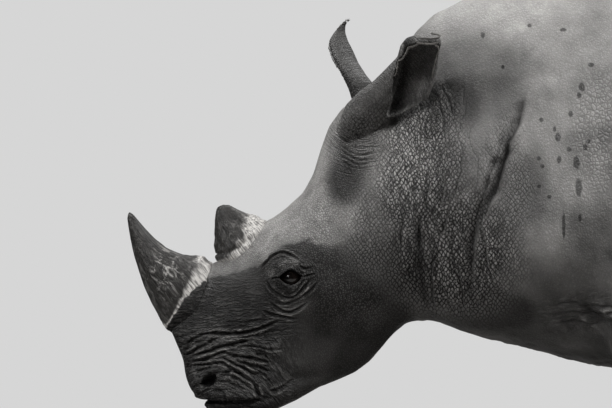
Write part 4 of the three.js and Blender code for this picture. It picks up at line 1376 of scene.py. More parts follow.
        # Each layer: the distance from its cracks, how wide its domes and its cracks are in that
        # distance, where it shows, how deep it is in millimetres and how dark its cracks are.
        layers = (
            (diamonds, 0.28, 0.19, mask[Mask.NET], 3.4, 1.25),
            *((slant, 0.10, 0.058, mask[Mask.NET], 3.6, 1.0) for slant in slants),
            (cells(loose, self.coarse_mm, (1.0, 1.0, 0.85)), 0.36, 0.15, mask[Mask.CELL], 3.0, 0.9),
            (grains, 0.42, 0.22, mask[Mask.PEBBLE], 2.6, 0.9),
            (runs, 0.16, 0.050, mask[Mask.LINE], 5.4, 1.0),
            *((braid, 0.14, 0.05, mask[Mask.LINE], 2.6, 0.85) for braid in braids),
            (wrinkles(rings, (0.045, 0.0066, 0.045)), 0.16, 0.055, mask[Mask.RING], 3.8, 1.0),
            (wrinkles(loose, (0.030, 0.030, 0.17)), 0.10, 0.028, mask[Mask.PLEAT], 4.0, 1.0),
        )
        height = None
        cracked = None
        for gap, dome, crack, strength, depth_mm, shade in layers:
            values = []
            for width, amount in ((dome, -depth_mm), (crack, shade)):
                drop = add_node(tree, "MapRange", SMOOTH_STEP,
                                {"Value": gap, "From Min": 0.0, "From Max": width,
                                 "To Min": amount, "To Max": 0.0}).outputs[0]
                values.append(add_node(tree, "Math", TIMES, {0: drop, 1: strength}).outputs[0])
            if height is None:
                height, cracked = values
            else:
                height = add_node(tree, "Math", PLUS, {0: height, 1: values[0]}).outputs[0]
                cracked = add_node(tree, "Math", LARGER, {0: cracked, 1: values[1]}).outputs[0]
        grain = add_node(tree, "TexNoise", None,
                         {"Vector": place, "Scale": 1000 / self.grain_mm, "Detail": 3.0, "Roughness": 0.6})
        grain = add_node(tree, "Math", TIMES, {0: grain.outputs["Fac"], 1: 0.5}).outputs[0]
        height = add_node(tree, "Math", PLUS, {0: height, 1: grain}).outputs[0]

        # Each kind of top gets a painted highlight: the distance from its cracks, where it starts and
        # where it is full in that distance, how pale the highlight makes it and where it shows.
        top_highlights = None
        for gap, foot, full, share, strength in (
            (diamonds, 0.06, 0.20, 0.45, mask[Mask.NET]),
            (grains, 0.08, 0.28, 0.13, mask[Mask.PEBBLE]),
            (runs, 0.08, 0.17, 0.16, mask[Mask.LINE]),
        ):
            top = add_node(tree, "MapRange", SMOOTH_STEP,
                           {"Value": gap, "From Min": foot, "From Max": full, "To Max": share}).outputs[0]
            top = add_node(tree, "Math", TIMES, {0: top, 1: strength}).outputs[0]
            top_highlights = top if top_highlights is None else add_node(tree, "Math", LARGER, {0: top_highlights, 1: top}).outputs[0]
        return cracked, height, top_highlights

    def colours(self, tree: Tree, place: Socket, mask: dict[Mask, Socket], cracks: Socket,
                top_highlights: Socket) -> tuple[Socket, Socket]:
        """Adds the greys, the dark of the cracks, the wet spots, and painted light, painted shade and painted
        highlights.

        Args:
            tree: the node tree.
            place: the object coordinates.
            mask: the painted strengths.
            cracks: how cracked each place is.
            top_highlights: how far each place is the top of a cell.

        Returns:
            The base colour and the roughness.
        """
        cloud = add_node(tree, "TexNoise", None,
                         {"Vector": place, "Scale": 1000 / self.dust_mm, "Detail": 7.0, "Roughness": 0.66})
        dust_and_light = add_node(tree, "MapRange", None,
                         {"Value": cloud.outputs["Fac"], "From Min": 0.38, "From Max": 0.64,
                          "To Min": 0.02, "To Max": 0.36}).outputs[0]
        # The pale mask adds dust and painted light.
        dust_and_light = add_node(tree, "Math", TIMES_PLUS, {0: mask[Mask.PALE], 1: 0.66, 2: dust_and_light}).outputs[0]
        blotch = add_node(tree, "TexNoise", None,
                          {"Vector": place, "Scale": 1000 / self.blotch_mm, "Detail": 4.0, "Roughness": 0.55})
        blotch = add_node(tree, "MapRange", SMOOTH_STEP,
                          {"Value": blotch.outputs["Fac"], "From Min": 0.42, "From Max": 0.58,
                           "To Min": -0.14, "To Max": 0.06}).outputs[0]
        dust_and_light = add_node(tree, "Math", {**PLUS, "use_clamp": True}, {0: dust_and_light, 1: blotch}).outputs[0]

        def blend(kind: str, factor: Socket, first: Socket | tuple, second: Socket | tuple) -> Socket:
            """Mixes two colours."""
            mixed = add_node(tree, "Mix", {"data_type": "RGBA", "blend_type": kind},
                             {0: factor, 6: first, 7: second})
            return mixed.outputs[2]

        colour = blend("MIX", dust_and_light, linear(self.slate), linear(self.dust_and_highlight))
        # Wet, muddy skin of the face, and painted shade.
        colour = blend("MIX", mask[Mask.DARK], colour, linear(self.damp_and_shade))
        # Painted highlight on fold crests and on the tops of cells, grains and wrinkles.
        worn = add_node(tree, "Math", TIMES_PLUS,
                        {0: mask[Mask.CREST], 1: 0.52, 2: top_highlights}).outputs[0]
        colour = blend("MIX", worn, colour, linear(self.dust_and_highlight))
        # Painted shade in sheltered hollows and in fold floors, and the dark of the cracks.
        shade = add_node(tree, "MapRange", SMOOTH_STEP,
                         {"Value": mask[Mask.SHELTER], "From Min": 0.30, "From Max": 0.95}).outputs[0]
        deep = add_node(tree, "Math", TIMES, {0: mask[Mask.CREASE], 1: 0.75}).outputs[0]
        cracked = add_node(tree, "Math", {**TIMES, "use_clamp": True}, {0: cracks, 1: 0.96}).outputs[0]
        deep = add_node(tree, "Math", LARGER, {0: deep, 1: cracked}).outputs[0]
        deep = add_node(tree, "Math", LARGER, {0: deep, 1: shade}).outputs[0]
        colour = blend("MIX", deep, colour, linear(self.crack))
        wet = self.wetness(tree, place)
        colour = blend("MULTIPLY", wet, colour, (0.30, 0.30, 0.30, 1.0))
        rough = add_node(tree, "MapRange", None,
                         {"Value": cloud.outputs["Fac"], "From Min": 0.3, "From Max": 0.7,
                          "To Min": 0.40, "To Max": 0.64}).outputs[0]
        rough = add_node(tree, "Math", TIMES_PLUS, {0: wet, 1: -0.28, 2: rough}).outputs[0]
        return colour, rough

    def wetness(self, tree: Tree, place: Socket) -> Socket:
        """Adds drips of water down the left shoulder, each an oval with a wavy edge.

        Args:
            tree: the node tree.
            place: the object coordinates.

        Returns:
            How wet each place is, from 0 to 1.
        """
        edge = add_node(tree, "TexNoise", None,
                        {"Vector": place, "Scale": 1000 / self.ragged_mm, "Detail": 2.0})
        edge = add_node(tree, "Math", TIMES, {0: edge.outputs["Fac"], 1: 0.9}).outputs[0]
        eye_along, eye_out, eye_up = CAMERA_PLACE
        nearer = 1 + self.skin_out / (-eye_out - self.skin_out)
        wet = None
        for across, down, half_wide, half_high in self.drips:
            along = self.drip_corner[0] + self.drip_unit * across
            up = self.drip_corner[1] - self.drip_unit * down
            middle = ((along - eye_along) / nearer + eye_along, 0.0, (up - eye_up) / nearer + eye_up)
            spread = (1 / (half_wide * self.drip_unit), 0.0, 1 / (half_high * self.drip_unit))
            away = add_node(tree, "VectorMath", {"operation": "SUBTRACT"}, {0: place, 1: middle})
            away = add_node(tree, "VectorMath", TIMES, {0: away.outputs[0], 1: spread})
            away = add_node(tree, "VectorMath", {"operation": "LENGTH"}, {0: away.outputs[0]})
            away = add_node(tree, "Math", PLUS, {0: away.outputs["Value"], 1: edge})
            spot = add_node(tree, "MapRange", SMOOTH_STEP,
                            {"Value": away.outputs[0], "From Min": 1.75, "From Max": 1.25}).outputs[0]
            wet = spot if wet is None else add_node(tree, "Math", LARGER, {0: wet, 1: spot}).outputs[0]
        side = add_node(tree, "SeparateXYZ", None, {0: place}).outputs["Y"]
        side = add_node(tree, "Math", {"operation": "LESS_THAN"}, {0: side, 1: -0.05}).outputs[0]
        return add_node(tree, "Math", TIMES, {0: wet, 1: side}).outputs[0]


@dataclass
class Horn:
    """A horn of fused fibres, worn smooth at the tip and ragged at the foot."""

    node: Object
    seed: int
    voxel: float = 0.003
    softness: float = 0.0075
    triangles: int = 60_000
    sink: float = 0.014
    rim: float = 0.009
    cuffed: bool = False
    roll: float = 0.0
    # How far the pale climbs up the horn's back past its foot, in metres: painted light.
    bleached_and_lit: float = 0.06
    scuff: tuple[float, float] = (-1.604, 0.859)
    piece: Object = field(init=False, default=None)

    def build(self, head: Object, hide: Hide) -> Object:
        """Makes the horn.

        Args:
            head: the solid that the horn stands on.
            hide: the skin round it.

        Returns:
            The horn's object.
        """
        name = self.node.name
        self.piece = merged_copy([self.node], name + "_keratin")
        apply_modifier(self.piece, "REMESH", mode="VOXEL", voxel_size=self.voxel)
        relax(self.piece, self.softness, self.voxel)
        self.carve(surface_of(head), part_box("head"), hide)
        limit_triangles(self.piece, self.triangles)
        activate(self.piece)
        bpy.ops.object.shade_smooth()
        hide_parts(name)
        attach(self.piece, "root")
        return self.piece

    def carve(self, tree: BVHTree, box: tuple, hide: Hide) -> None:
        """Sinks the foot into the skin and cuts the fibres.

        Args:
            tree: the head's surface.
            box: the head's lowest and highest corner.
            hide: the skin, whose line between dark and pale runs on over the horn's foot.
        """
        points = read_points(self.piece)
        normals = read_normals(self.piece)
        gap = gap_to(tree, box, points, 0.30)
        tip = points[np.argmax(gap)]
        foot = points[gap < 0.004].mean(axis=0)
        along = (tip - foot) / np.linalg.norm(tip - foot)
        aside = np.cross(along, (0.0, 1.0, 0.0))
        aside /= np.linalg.norm(aside)
        frame = np.stack([aside, np.cross(along, aside), along])
        local = (points - foot) @ frame.T
        fibre = Unevenness(self.seed).at(local, (0.006, 0.006, 0.11)) - 0.5
        coarse = Unevenness(self.seed + 1).at(local, (0.018, 0.018, 0.07)) - 0.5
        lumps = Unevenness(self.seed + 2).at(local, 0.016) - 0.5
        ragged = Unevenness(self.seed + 3).at(local, (0.010, 0.010, 0.05))
        flat = hide.drawing.flat(points)
        above = flat[:, 1] - hide.brow(flat[:, 0]) + 0.010 * (ragged - 0.5)
        low = ramp(gap, 0.075, 0.01)
        worn = ramp(gap, 0.22, 0.10)
        height = 0.0022 * fibre * (0.35 + 0.65 * worn) + 0.004 * coarse * worn + 0.007 * lumps * low
        skirt = points[gap < 0.02][:, 0]
        back = (points[:, 0] - skirt.min()) / (skirt.max() - skirt.min())
        height -= self.roll * bell((gap - 0.024 - 0.012 * lumps) / 0.005) * ramp(back, 0.75, 0.5)
        under = ramp(gap, 0.0045, 0.002)
        if self.cuffed:
            height *= ramp(above, -0.004, 0.006)
        height = height * (1 - under) + 0.002 * low * (1 - under)
        moved = points + normals * height[:, None]
        moved -= along * (self.sink * under)[:, None]
        write_points(self.piece, moved)
        cuff = np.maximum(-above, 0.0) * ramp(gap, 0.045, 0.035) * self.cuffed
        # The pale reaches higher up the horn's back: paled horn at the foot, and painted light up the back.
        reach = (self.rim + self.bleached_and_lit * ramp(back, 0.0, 1.0) ** 1.5) * (0.4 + 1.2 * ragged)
        edge = np.minimum(gap, 0.7 * np.maximum(above, 0.0)) if self.cuffed else gap
        store(self.piece, "bleach_and_light", ramp(edge, reach, 0.25 * reach) * (cuff <= 0.0))
        store(self.piece, "cuff", ramp(cuff, 0.0, 0.001))
        away = np.linalg.norm((flat - self.scuff) / (0.045, 0.075), axis=1)
        store(self.piece, "scuff", ramp(away, 1.3, 0.3))
        for axis, values in zip("xyz", local.T):
            store(self.piece, "along_" + axis, values)

    def dress(self, keratin: bpy.types.Material, hide: Hide) -> None:
        """Puts keratin on the horn, and the head's hide where it climbs up the foot.

        Args:
            keratin: the horn's finish.
            hide: the skin, dressed already.
        """
        points = read_points(self.piece)
        for mask, values in hide.strengths(points, read_normals(self.piece)).items():
            store(self.piece, mask.value, values)
        for course, places in zip(Course, hide.flow(points)):
            store_places(self.piece, course.value, places)
        self.piece.data.materials.append(keratin)
        self.piece.data.materials.append(hide.piece.data.materials[0])
        cuff = recall(self.piece, "cuff")
        for face in self.piece.data.polygons:
            face.material_index = int(cuff[list(face.vertices)].mean() > 0.5)


@dataclass(frozen=True)
class HornFinish:
    """Horn: keratin fibres grown side by side, dull and weathered, split and pale at the foot; the pale
    climbing its back is painted light.
    """

    dark: str = "#0d0c0c"
    grey: str = "#3d3b39"
    # The pale of the horn's foot and scuffs, also the colour of painted light up its back.
    bleached_and_lit: str = "#d6d3cf"
    fibre_mm: float = 4.2  # a fibre is under 1 mm thick: bundles are drawn, as one wouldn't show
    swirl_mm: float = 1000 / 60  # scuffs of about 17 mm

    def make(self) -> bpy.types.Material:
        """Builds the material.

        Returns:
            The material.
        """
        material, tree, shader = new_material("weathered_horn")
        *local, bleach_and_light, scuff = (
            add_node(tree, "Attribute", {"attribute_name": name}).outputs["Fac"]
            for name in ("along_x", "along_y", "along_z", "bleach_and_light", "scuff"))
        place = add_node(tree, "CombineXYZ", None, dict(enumerate(local))).outputs[0]
        stretched = add_node(tree, "Mapping", None, {"Vector": place, "Scale": (1.0, 1.0, 0.10)}).outputs[0]
        fibres = add_node(tree, "TexNoise", None, {"Vector": stretched, "Scale": 1000 / self.fibre_mm,
                                                   "Detail": 3.0, "Roughness": 0.6})
        swirls = add_node(tree, "Mapping", None, {"Vector": place, "Scale": (1.0, 1.0, 0.45)}).outputs[0]
        swirls = add_node(tree, "TexNoise", None, {"Vector": swirls, "Scale": 1000 / self.swirl_mm,
                                                   "Detail": 6.0, "Roughness": 0.75, "Distortion": 0.8})
        mottle = add_node(tree, "MapRange", SMOOTH_STEP,
                          {"Value": swirls.outputs["Fac"], "From Min": 0.50, "From Max": 0.64}).outputs[0]
        scuffed = add_node(tree, "Math", TIMES_PLUS, {0: scuff, 1: 0.60, 2: 0.13}).outputs[0]
        scuffed = add_node(tree, "Math", TIMES, {0: mottle, 1: scuffed}).outputs[0]
        streak = add_node(tree, "MapRange", SMOOTH_STEP,
                          {"Value": fibres.outputs["Fac"], "From Min": 0.40, "From Max": 0.58,
                           "To Min": 0.30, "To Max": 1.05}).outputs[0]
        # The pale foot, and painted light up the back.
        rim = add_node(tree, "Math", TIMES, {0: bleach_and_light, 1: streak}).outputs[0]
        stripe = add_node(tree, "MapRange", None,
                          {"Value": fibres.outputs["Fac"], "From Min": 0.35, "From Max": 0.65}).outputs[0]
        grey = add_node(tree, "Mix", COLOURS,
                        {0: stripe, 6: linear(self.dark), 7: linear(self.grey)}).outputs[2]
        pale = add_node(tree, "Math", LARGER, {0: scuffed, 1: rim}).outputs[0]
        colour = add_node(tree, "Mix", COLOURS,
                          {0: pale, 6: grey, 7: linear(self.bleached_and_lit)}).outputs[2]
        tree.links.new(colour, shader.inputs["Base Color"])
        rough = add_node(tree, "MapRange", None, {"Value": pale, "To Min": 0.48, "To Max": 0.80}).outputs[0]
        tree.links.new(rough, shader.inputs["Roughness"])
        shader.inputs["IOR"].default_value = 1.54
        shader.inputs["Specular IOR Level"].default_value = 0.30
        height = add_node(tree, "Math", TIMES, {0: fibres.outputs["Fac"], 1: 2.2}).outputs[0]
        height = add_node(tree, "Math", TIMES_PLUS, {0: mottle, 1: 0.8, 2: height}).outputs[0]
        bump = add_node(tree, "Bump", None, {"Strength": 1.0, "Distance": 0.001, "Height": height})
        tree.links.new(bump.outputs["Normal"], shader.inputs["Normal"])
        return material


@dataclass
class Eye:
    """One dark wet eyeball with its cornea, turned a little forward."""

    side: str
    radius: float = 0.0325
    cornea: float = 0.0016
    gaze: tuple[float, float, float] = (-0.34, 1.0, -0.06)
    piece: Object = field(init=False, default=None)

    def build(self) -> Object:
        """Makes the eyeball where its solid is.

        Returns:
            The eyeball's object.
        """
        node = "eye_" + self.side
        low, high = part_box(node)
        middle = np.array((Vector(low) + Vector(high)) / 2)
        look = Vector((self.gaze[0], self.gaze[1] * SIDES[self.side], self.gaze[2])).normalized()
        deselect()
        bpy.ops.mesh.primitive_uv_sphere_add(segments=64, ring_count=48, radius=self.radius)
        self.piece = bpy.context.view_layer.objects.active
        self.piece.name = self.piece.data.name = "eyeball_" + self.side
        local = read_points(self.piece)
        angle = np.degrees(np.arccos(np.clip(local[:, 2] / self.radius, -1, 1)))
        bulge = self.cornea * ramp(angle, 26, 8)
        local *= (1 + bulge / self.radius)[:, None]
        turn = np.array(look.to_track_quat("Z", "Y").to_matrix())
        write_points(self.piece, local @ turn.T + middle)
        store(self.piece, "angle", angle)
        activate(self.piece)
        bpy.ops.object.shade_smooth()
        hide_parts(node)
        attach(self.piece, "root")
        return self.piece


@dataclass(frozen=True)
class EyeFinish:
    """A wet eye: dark brown iris and white behind a clear cornea."""

    iris: str = "#0e0a08"
    ring: str = "#080605"
    white: str = "#17120f"
    fleck_mm: float = 1000 / 260  # flecks of about 4 mm
    pupil: tuple[float, float] = (9.0, 11.0)  # the edge of the pupil, in degrees from the gaze
    edge: tuple[float, float] = (27.0, 33.0)  # the edge of the iris

    def make(self) -> bpy.types.Material:
        """Builds the material.

        Returns:
            The material.
        """
        material, tree, shader = new_material("wet_eyeball")
        angle = add_node(tree, "Attribute", {"attribute_name": "angle"}).outputs["Fac"]
        place = add_node(tree, "TexCoord").outputs["Object"]
        fleck = add_node(tree, "TexNoise", None,
                         {"Vector": place, "Scale": 1000 / self.fleck_mm, "Detail": 3.0})
        iris = add_node(tree, "Mix", COLOURS,
                        {0: fleck.outputs["Fac"], 6: linear(self.ring), 7: linear(self.iris)}).outputs[2]
        pupil = add_node(tree, "MapRange", SMOOTH_STEP,
                         {"Value": angle, "From Min": self.pupil[0], "From Max": self.pupil[1]}).outputs[0]
        colour = add_node(tree, "Mix", COLOURS, {0: pupil, 6: (0.002, 0.002, 0.002, 1), 7: iris}).outputs[2]
        rim = add_node(tree, "MapRange", SMOOTH_STEP,
                       {"Value": angle, "From Min": self.edge[0], "From Max": self.edge[1]}).outputs[0]
        colour = add_node(tree, "Mix", COLOURS, {0: rim, 6: colour, 7: linear(self.white)}).outputs[2]
        tree.links.new(colour, shader.inputs["Base Color"])
        shader.inputs["Roughness"].default_value = 0.12
        shader.inputs["IOR"].default_value = 1.38
        shader.inputs["Coat Weight"].default_value = 0.6
        shader.inputs["Coat Roughness"].default_value = 0.03
        return material


@dataclass
class Nail:
    """One hoof nail, rounded from its solid."""

    node: Object
    voxel: float = 0.002
    triangles: int = 5_000
    piece: Object = field(init=False, default=None)

    def build(self) -> Object:
        """Makes the nail.

        Returns:
            The nail's object.
        """
        self.piece = merged_copy([self.node], self.node.name + "_horn")
        apply_modifier(self.piece, "REMESH", mode="VOXEL", voxel_size=self.voxel)
        apply_modifier(self.piece, "SMOOTH", factor=1.0, iterations=10)
        points = read_points(self.piece)
        ridge = Unevenness(61).at(points, (0.20, 0.20, 0.006)) - 0.5
        points += read_normals(self.piece) * (0.0012 * ridge)[:, None]
        write_points(self.piece, points)
        limit_triangles(self.piece, self.triangles)
        stand(self.piece)
        activate(self.piece)
        bpy.ops.object.shade_smooth()
        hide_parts(self.node.name)
        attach(self.piece, "root")
        return self.piece


@dataclass(frozen=True)
class NailFinish:
    """Hoof nail: thick keratin laid down in bands, scuffed by the ground."""

    body: str = "#6b645c"
    scuffed: str = "#8f877d"
    band_mm: float = 6.0
    scuff_mm: float = 1000 / 70  # scuffs of about 14 mm

    def make(self) -> bpy.types.Material:
        """Builds the material.

        Returns:
            The material.
        """
        material, tree, shader = new_material("scuffed_nail")
        place = add_node(tree, "TexCoord").outputs["Object"]
        bands = add_node(tree, "Mapping", None, {"Vector": place, "Scale": (0.12, 0.12, 1.0)}).outputs[0]
        bands = add_node(tree, "TexNoise", None,
                         {"Vector": bands, "Scale": 1000 / self.band_mm, "Detail": 3.0})
        scuffs = add_node(tree, "TexNoise", None,
                          {"Vector": place, "Scale": 1000 / self.scuff_mm, "Detail": 5.0})
        mixed = add_node(tree, "Math", TIMES,
                         {0: bands.outputs["Fac"], 1: scuffs.outputs["Fac"]}).outputs[0]
        mixed = add_node(tree, "MapRange", None,
                         {"Value": mixed, "From Min": 0.15, "From Max": 0.38}).outputs[0]
        colour = add_node(tree, "Mix", COLOURS,
                          {0: mixed, 6: linear(self.body), 7: linear(self.scuffed)}).outputs[2]
        tree.links.new(colour, shader.inputs["Base Color"])
        shader.inputs["Roughness"].default_value = 0.55
        shader.inputs["IOR"].default_value = 1.54
        bump = add_node(tree, "Bump", None,
                        {"Strength": 1.0, "Distance": 0.0015, "Height": bands.outputs["Fac"]})
        tree.links.new(bump.outputs["Normal"], shader.inputs["Normal"])
        return material


@dataclass
class Coat:
    """Stiff hairs, each a thin three-sided blade, gathered into one mesh."""

    name: str
    places: list = field(default_factory=list)
    faces: list = field(default_factory=list)
    patches: list = field(default_factory=list)

    def hair(self, line: np.ndarray, thickness: float, root: tuple[float, float]) -> None:
        """Adds one hair.

        Args:
            line: its middle line from root to tip, one row a point.
            thickness: its width at the root.
            root: the root's place on the unwrap of the skin.
        """
        start = len(self.places)
        along = line[-1] - line[0]
        aside = np.cross(along, (0.31, 0.52, 0.79))
        aside /= np.linalg.norm(aside)
        other = np.cross(along, aside)
        other /= np.linalg.norm(other)
        count = len(line) - 1
        for i, point in enumerate(line[:-1]):
            radius = thickness / 2 * (1 - i / count) ** 0.6
            for k in range(3):
                angle = 2 * math.pi * k / 3
                self.places.append(point + radius * (aside * math.cos(angle) + other * math.sin(angle)))
        self.places.append(line[-1])
        tip = len(self.places) - 1
        for i in range(count - 1):
            for k in range(3):
                a, b = start + 3 * i + k, start + 3 * i + (k + 1) % 3
                self.faces.append((a, b, b + 3, a + 3))
        last = start + 3 * (count - 1)
        self.faces.extend([(last, last + 1, tip), (last + 1, last + 2, tip), (last + 2, last, tip)])
        self.faces.append((start + 2, start + 1, start))
        self.patches.extend([root] * (3 * (count - 1) + 4))

    def build(self, slot: str, material: bpy.types.Material) -> Object:
        """Makes the mesh, with each hair's faces on a small patch of the unwrap at its root.

        Args:
            slot: the name of a material slot, not used.
            material: the hair's finish.

        Returns:
            The coat's object.
        """
        mesh = bpy.data.meshes.new(self.name)
        mesh.from_pydata([tuple(p) for p in self.places], [], self.faces)
        unwrap = mesh.uv_layers.new(name="OFBake")
        corners = np.array([(0, 0), (0.003, 0), (0.003, 0.003), (0, 0.003)])
        for face, root in zip(mesh.polygons, self.patches):
            for i, loop in enumerate(face.loop_indices):
                unwrap.data[loop].uv = np.clip(np.array(root) * 0.99 + corners[i], 0, 1)
        mesh.materials.append(material)
        piece = bpy.data.objects.new(self.name, mesh)
        bpy.context.collection.objects.link(piece)
        activate(piece)
        bpy.ops.object.shade_smooth()
        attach(piece, "root")
        return piece


@dataclass(frozen=True)
class HairFinish:
    """Coarse hair: stiff dark keratin with a dull shine."""

    name: str
    dark: str
    light: str
    strand_mm: float = 1000 / 300  # a hair is under 1 mm thick: the tone changes over several

    def make(self) -> bpy.types.Material:
        """Builds the material.

        Returns:
            The material.
        """
        material, tree, shader = new_material(self.name)
        place = add_node(tree, "TexCoord").outputs["Object"]
        strands = add_node(tree, "TexNoise", None,
                           {"Vector": place, "Scale": 1000 / self.strand_mm, "Detail": 2.0})
        colour = add_node(tree, "Mix", COLOURS,
                          {0: strands.outputs["Fac"], 6: linear(self.dark), 7: linear(self.light)}).outputs[2]
        tree.links.new(colour, shader.inputs["Base Color"])
        shader.inputs["Roughness"].default_value = 0.5
        shader.inputs["IOR"].default_value = 1.55
        return material


@dataclass
class EarFringe:
    """Short stiff hairs along the rim of one ear, longest at its top."""

    side: str
    hairs: int = 1800
    longest: float = 0.011
    lowest: float = 0.62
    sharp: float = 50.0

    def rim(self, node: Object) -> list:
        """Finds the ear's sharp edges, with the way that the hair grows there.

        Args:
            node: the ear's solid.

        Returns:
            Pairs of ends and a direction, one for each edge.
        """
        ear = merged_copy([node], "ear_rim")
        mesh = ear.data
        points = read_points(ear)
        low, high = points[:, 2].min(), points[:, 2].max()
        facing = {}
        for face in mesh.polygons:
            for key in face.edge_keys:
                facing.setdefault(key, []).append(np.array(face.normal))
        edges = []
        for (a, b), normals in facing.items():
            height = (points[a][2] + points[b][2]) / 2
            if len(normals) == 2 and (height - low) / (high - low) > self.lowest:
                turn = math.degrees(math.acos(np.clip(normals[0] @ normals[1], -1, 1)))
                if turn > self.sharp:
                    way = normals[0] + normals[1]
                    edges.append((points[a], points[b], way / np.linalg.norm(way)))
        bpy.data.objects.remove(ear)
        return edges

    def build(self, node: Object, material: bpy.types.Material) -> Object:
        """Plants the hairs.

        Args:
            node: the ear's solid.
            material: the hair's finish.

        Returns:
            The fringe's object.
        """
        draw = np.random.default_rng(71 + len(self.side))
        edges = self.rim(node)
        points = read_points(node)
        low, high = points.min(axis=0), points.max(axis=0)
        lengths = np.array([np.linalg.norm(b - a) for a, b, _ in edges])
        coat = Coat("ear_fringe_" + self.side)
        for i in draw.choice(len(edges), self.hairs, p=lengths / lengths.sum()):
            a, b, way = edges[i]
            root = a + (b - a) * draw.random()
            rise = (root[2] - low[2]) / (high[2] - low[2])
            length = self.longest * (0.35 + 0.65 * rise**2) * draw.uniform(0.5, 1.0)
            lean = way + draw.normal(0, 0.28, 3) + np.array((0.0, 0.0, 0.35))
            lean /= np.linalg.norm(lean)
            bend = np.array((0.25, 0.0, -0.35)) * draw.uniform(0.2, 1.0)
            steps = np.linspace(0, 1, 4)[:, None]
            line = root - lean * 0.002 + steps * lean * length + steps**2 * bend * length * 0.5
            line[:, 2] = np.minimum(line[:, 2], high[2] + 0.012)
            around = math.atan2(root[1] - (low[1] + high[1]) / 2, root[0] - (low[0] + high[0]) / 2)
            coat.hair(line, 0.0007, (0.5 + around / (2 * math.pi), rise))
        return coat.build("hide", material)


@dataclass
class TailBristles:
    """The brush of the tail: long stiff bristles in a flat row down both edges of its end."""

    bristles: int = 620

    def build(self, material: bpy.types.Material) -> Object:
        """Plants the bristles on the end of the tail.

        Args:
            material: the hair's finish.

        Returns:
            The brush's object.
        """
        low, high = (np.array(corner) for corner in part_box("tail_tuft"))
        middle = (low + high) / 2
        draw = np.random.default_rng(83)
        coat = Coat("tail_bristles")
        for _ in range(self.bristles):
            edge = draw.choice((-1.0, 1.0))
            around = draw.uniform(0, 2 * math.pi)
            start = draw.random()
            root = np.array((
                middle[0] + 0.011 * edge * abs(math.cos(around)),
                middle[1] + 0.010 * math.sin(around),
                high[2] + 0.03 - 0.10 * start,
            ))
            length = draw.uniform(0.45, 1.0) * (root[2] - low[2])
            out = np.array((0.020 * edge * draw.uniform(0.2, 1.0), draw.normal(0, 0.007), 0.0))
            t = np.linspace(0, 1, 6)[:, None]
            line = root + t * np.array((0.0, 0.0, -length)) + np.sqrt(t) * out * (1 - 0.55 * t)
            line += t**2 * np.array((draw.normal(0, 0.006), draw.normal(0, 0.006), 0.0))
            line[:, :2] = np.clip(line[:, :2], low[:2] - 0.004, high[:2] + 0.003)
            coat.hair(line, draw.uniform(0.0012, 0.0020), (around / (2 * math.pi), 1 - start))
        brush = coat.build("bristle", material)
        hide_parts("tail_tuft")
        return brush


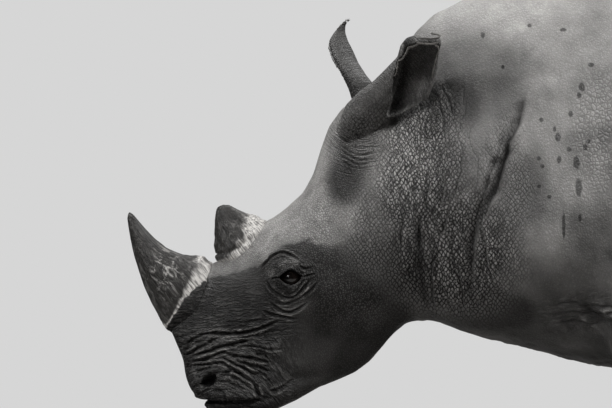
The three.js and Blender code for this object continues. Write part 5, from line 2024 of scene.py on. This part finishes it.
@dataclass
class Studio:
    """A pale floor that fades out, soft lights and the camera."""

    floor_radius: float = 5.2
    floor_colour: str = "#b9b7b5"
    backdrop: str = "#d6d6d6"

    def build(self) -> None:
        """Makes the floor, the world, the lights and the camera."""
        self.floor()
        self.world()
        self.lamp("overhead", (2.4, -2.3, 4.7), (-0.7, -0.15, 1.15), (1.6, 1.2), 275, 180)
        self.lamp("front", (-4.3, -1.0, 3.2), (-1.3, -0.1, 0.8), (1.6, 0.5), 20, 90)
        self.lamp("crown", (-2.0, 1.2, 4.2), (-1.1, 0.0, 1.1), (1.4, 1.0), 27, 130)
        self.lamp("behind", (0.4, 3.4, 3.8), (-0.6, 0.2, 1.2), (2.6, 1.6), 38, 180)
        self.lamp("side", (-2.8, -4.0, 3.3), (-0.95, -0.25, 1.25), (2.4, 0.5), 8, 60)
        self.lamp("front_fill", (-3.0, -7.5, 2.6), (-0.9, 0.0, 0.9), (4.0, 3.0), 1.5, 180)
        self.lamp("rear_fill", (4.5, 2.5, 2.6), (0.6, 0.0, 0.9), (3.0, 2.4), 40, 180)
        self.camera()

    def floor(self) -> None:
        """Lays the floor, which fades into the backdrop towards its rim."""
        deselect()
        bpy.ops.mesh.primitive_circle_add(vertices=128, radius=self.floor_radius, fill_type="NGON")
        floor = bpy.context.view_layer.objects.active
        floor.name = "studio_floor"
        material, tree, shader = new_material("painted_floor")
        shader.inputs["Base Color"].default_value = linear(self.floor_colour)
        shader.inputs["Roughness"].default_value = 0.75
        place = add_node(tree, "TexCoord").outputs["Object"]
        away = add_node(tree, "VectorMath", {"operation": "LENGTH"}, {0: place}).outputs["Value"]
        alpha = add_node(tree, "MapRange", SMOOTH_STEP,
                         {"Value": away, "From Min": 1.6, "From Max": self.floor_radius - 0.1,
                          "To Min": 1.0, "To Max": 0.0}).outputs[0]
        tree.links.new(alpha, shader.inputs["Alpha"])
        floor.data.materials.append(material)

    def world(self) -> None:
        """Sets a plain pale backdrop that lights the scene more dimly than it looks."""
        world = bpy.data.worlds.new("studio")
        bpy.context.scene.world = world
        world.use_nodes = True
        tree = world.node_tree
        seen = add_node(tree, "LightPath").outputs["Is Camera Ray"]
        strength = add_node(tree, "MapRange", None,
                            {"Value": seen, "To Min": 0.028, "To Max": 1.0}).outputs[0]
        sky = tree.nodes["Background"]
        sky.inputs["Color"].default_value = linear(self.backdrop)
        tree.links.new(strength, sky.inputs["Strength"])
        bpy.context.scene.view_settings.view_transform = "Standard"

    def lamp(self, name: str, place: tuple, target: tuple, size: tuple, watts: float,
             spread: float) -> None:
        """Hangs one soft box.

        Args:
            name: the light's name.
            place: where it hangs.
            target: what it points at.
            size: its width and height.
            watts: its power.
            spread: the angle of its beam in degrees.
        """
        light = bpy.data.lights.new(name, "AREA")
        light.shape = "RECTANGLE"
        light.size, light.size_y = size
        light.energy = watts
        light.spread = math.radians(spread)
        holder = bpy.data.objects.new(name, light)
        holder.location = place
        holder.rotation_euler = (Vector(target) - Vector(place)).to_track_quat("-Z", "Y").to_euler()
        holder.visible_camera = False
        bpy.context.collection.objects.link(holder)

    def camera(self) -> None:
        """Sets the camera square to the animal's left side."""
        data = bpy.data.cameras.new("camera")
        data.lens = 200.0
        data.sensor_width = 36.0
        data.clip_end = 100.0
        camera = bpy.data.objects.new("camera", data)
        camera.location = CAMERA_PLACE
        camera.rotation_euler = (math.pi / 2, 0.0, 0.0)
        bpy.context.collection.objects.link(camera)
        bpy.context.scene.camera = camera


def tell(piece: Object) -> None:
    """Reports a piece that is done."""
    LOG.info("%s: %d faces", piece.name, len(piece.data.polygons))


def main() -> None:
    """Builds the animal and its studio in order."""
    logging.basicConfig(level=logging.INFO, format="%(name)s: %(message)s")
    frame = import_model()
    nodes = frame["nodes"]
    Studio().build()
    hide = Hide(nodes)
    skin = hide.build()
    hide.dress()
    tell(skin)
    horn_finish = HornFinish().make()
    for horn in (Horn(nodes["horn_front"], 101, cuffed=True, bleached_and_lit=0.11),
                 Horn(nodes["horn_rear"], 131, roll=0.007, bleached_and_lit=0.16)):
        horn.build(nodes["head"], hide)
        horn.dress(horn_finish, hide)
        tell(horn.piece)
    eye_finish = EyeFinish().make()
    for side in SIDES:
        eye = Eye(side).build()
        eye.data.materials.append(eye_finish)
        tell(eye)
    nail_finish = NailFinish().make()
    for name in sorted(n for n in nodes if n.startswith("nail_")):
        nail = Nail(nodes[name]).build()
        nail.data.materials.append(nail_finish)
        tell(nail)
    fringe_finish = HairFinish("ear_hair", "#4a4745", "#8f8b86").make()
    for side in SIDES:
        tell(EarFringe(side).build(nodes["ear_" + side], fringe_finish))
    tell(TailBristles().build(HairFinish("tail_bristle", "#0f0d0c", "#2c2724").make()))


if __name__ == "__main__":
    main()
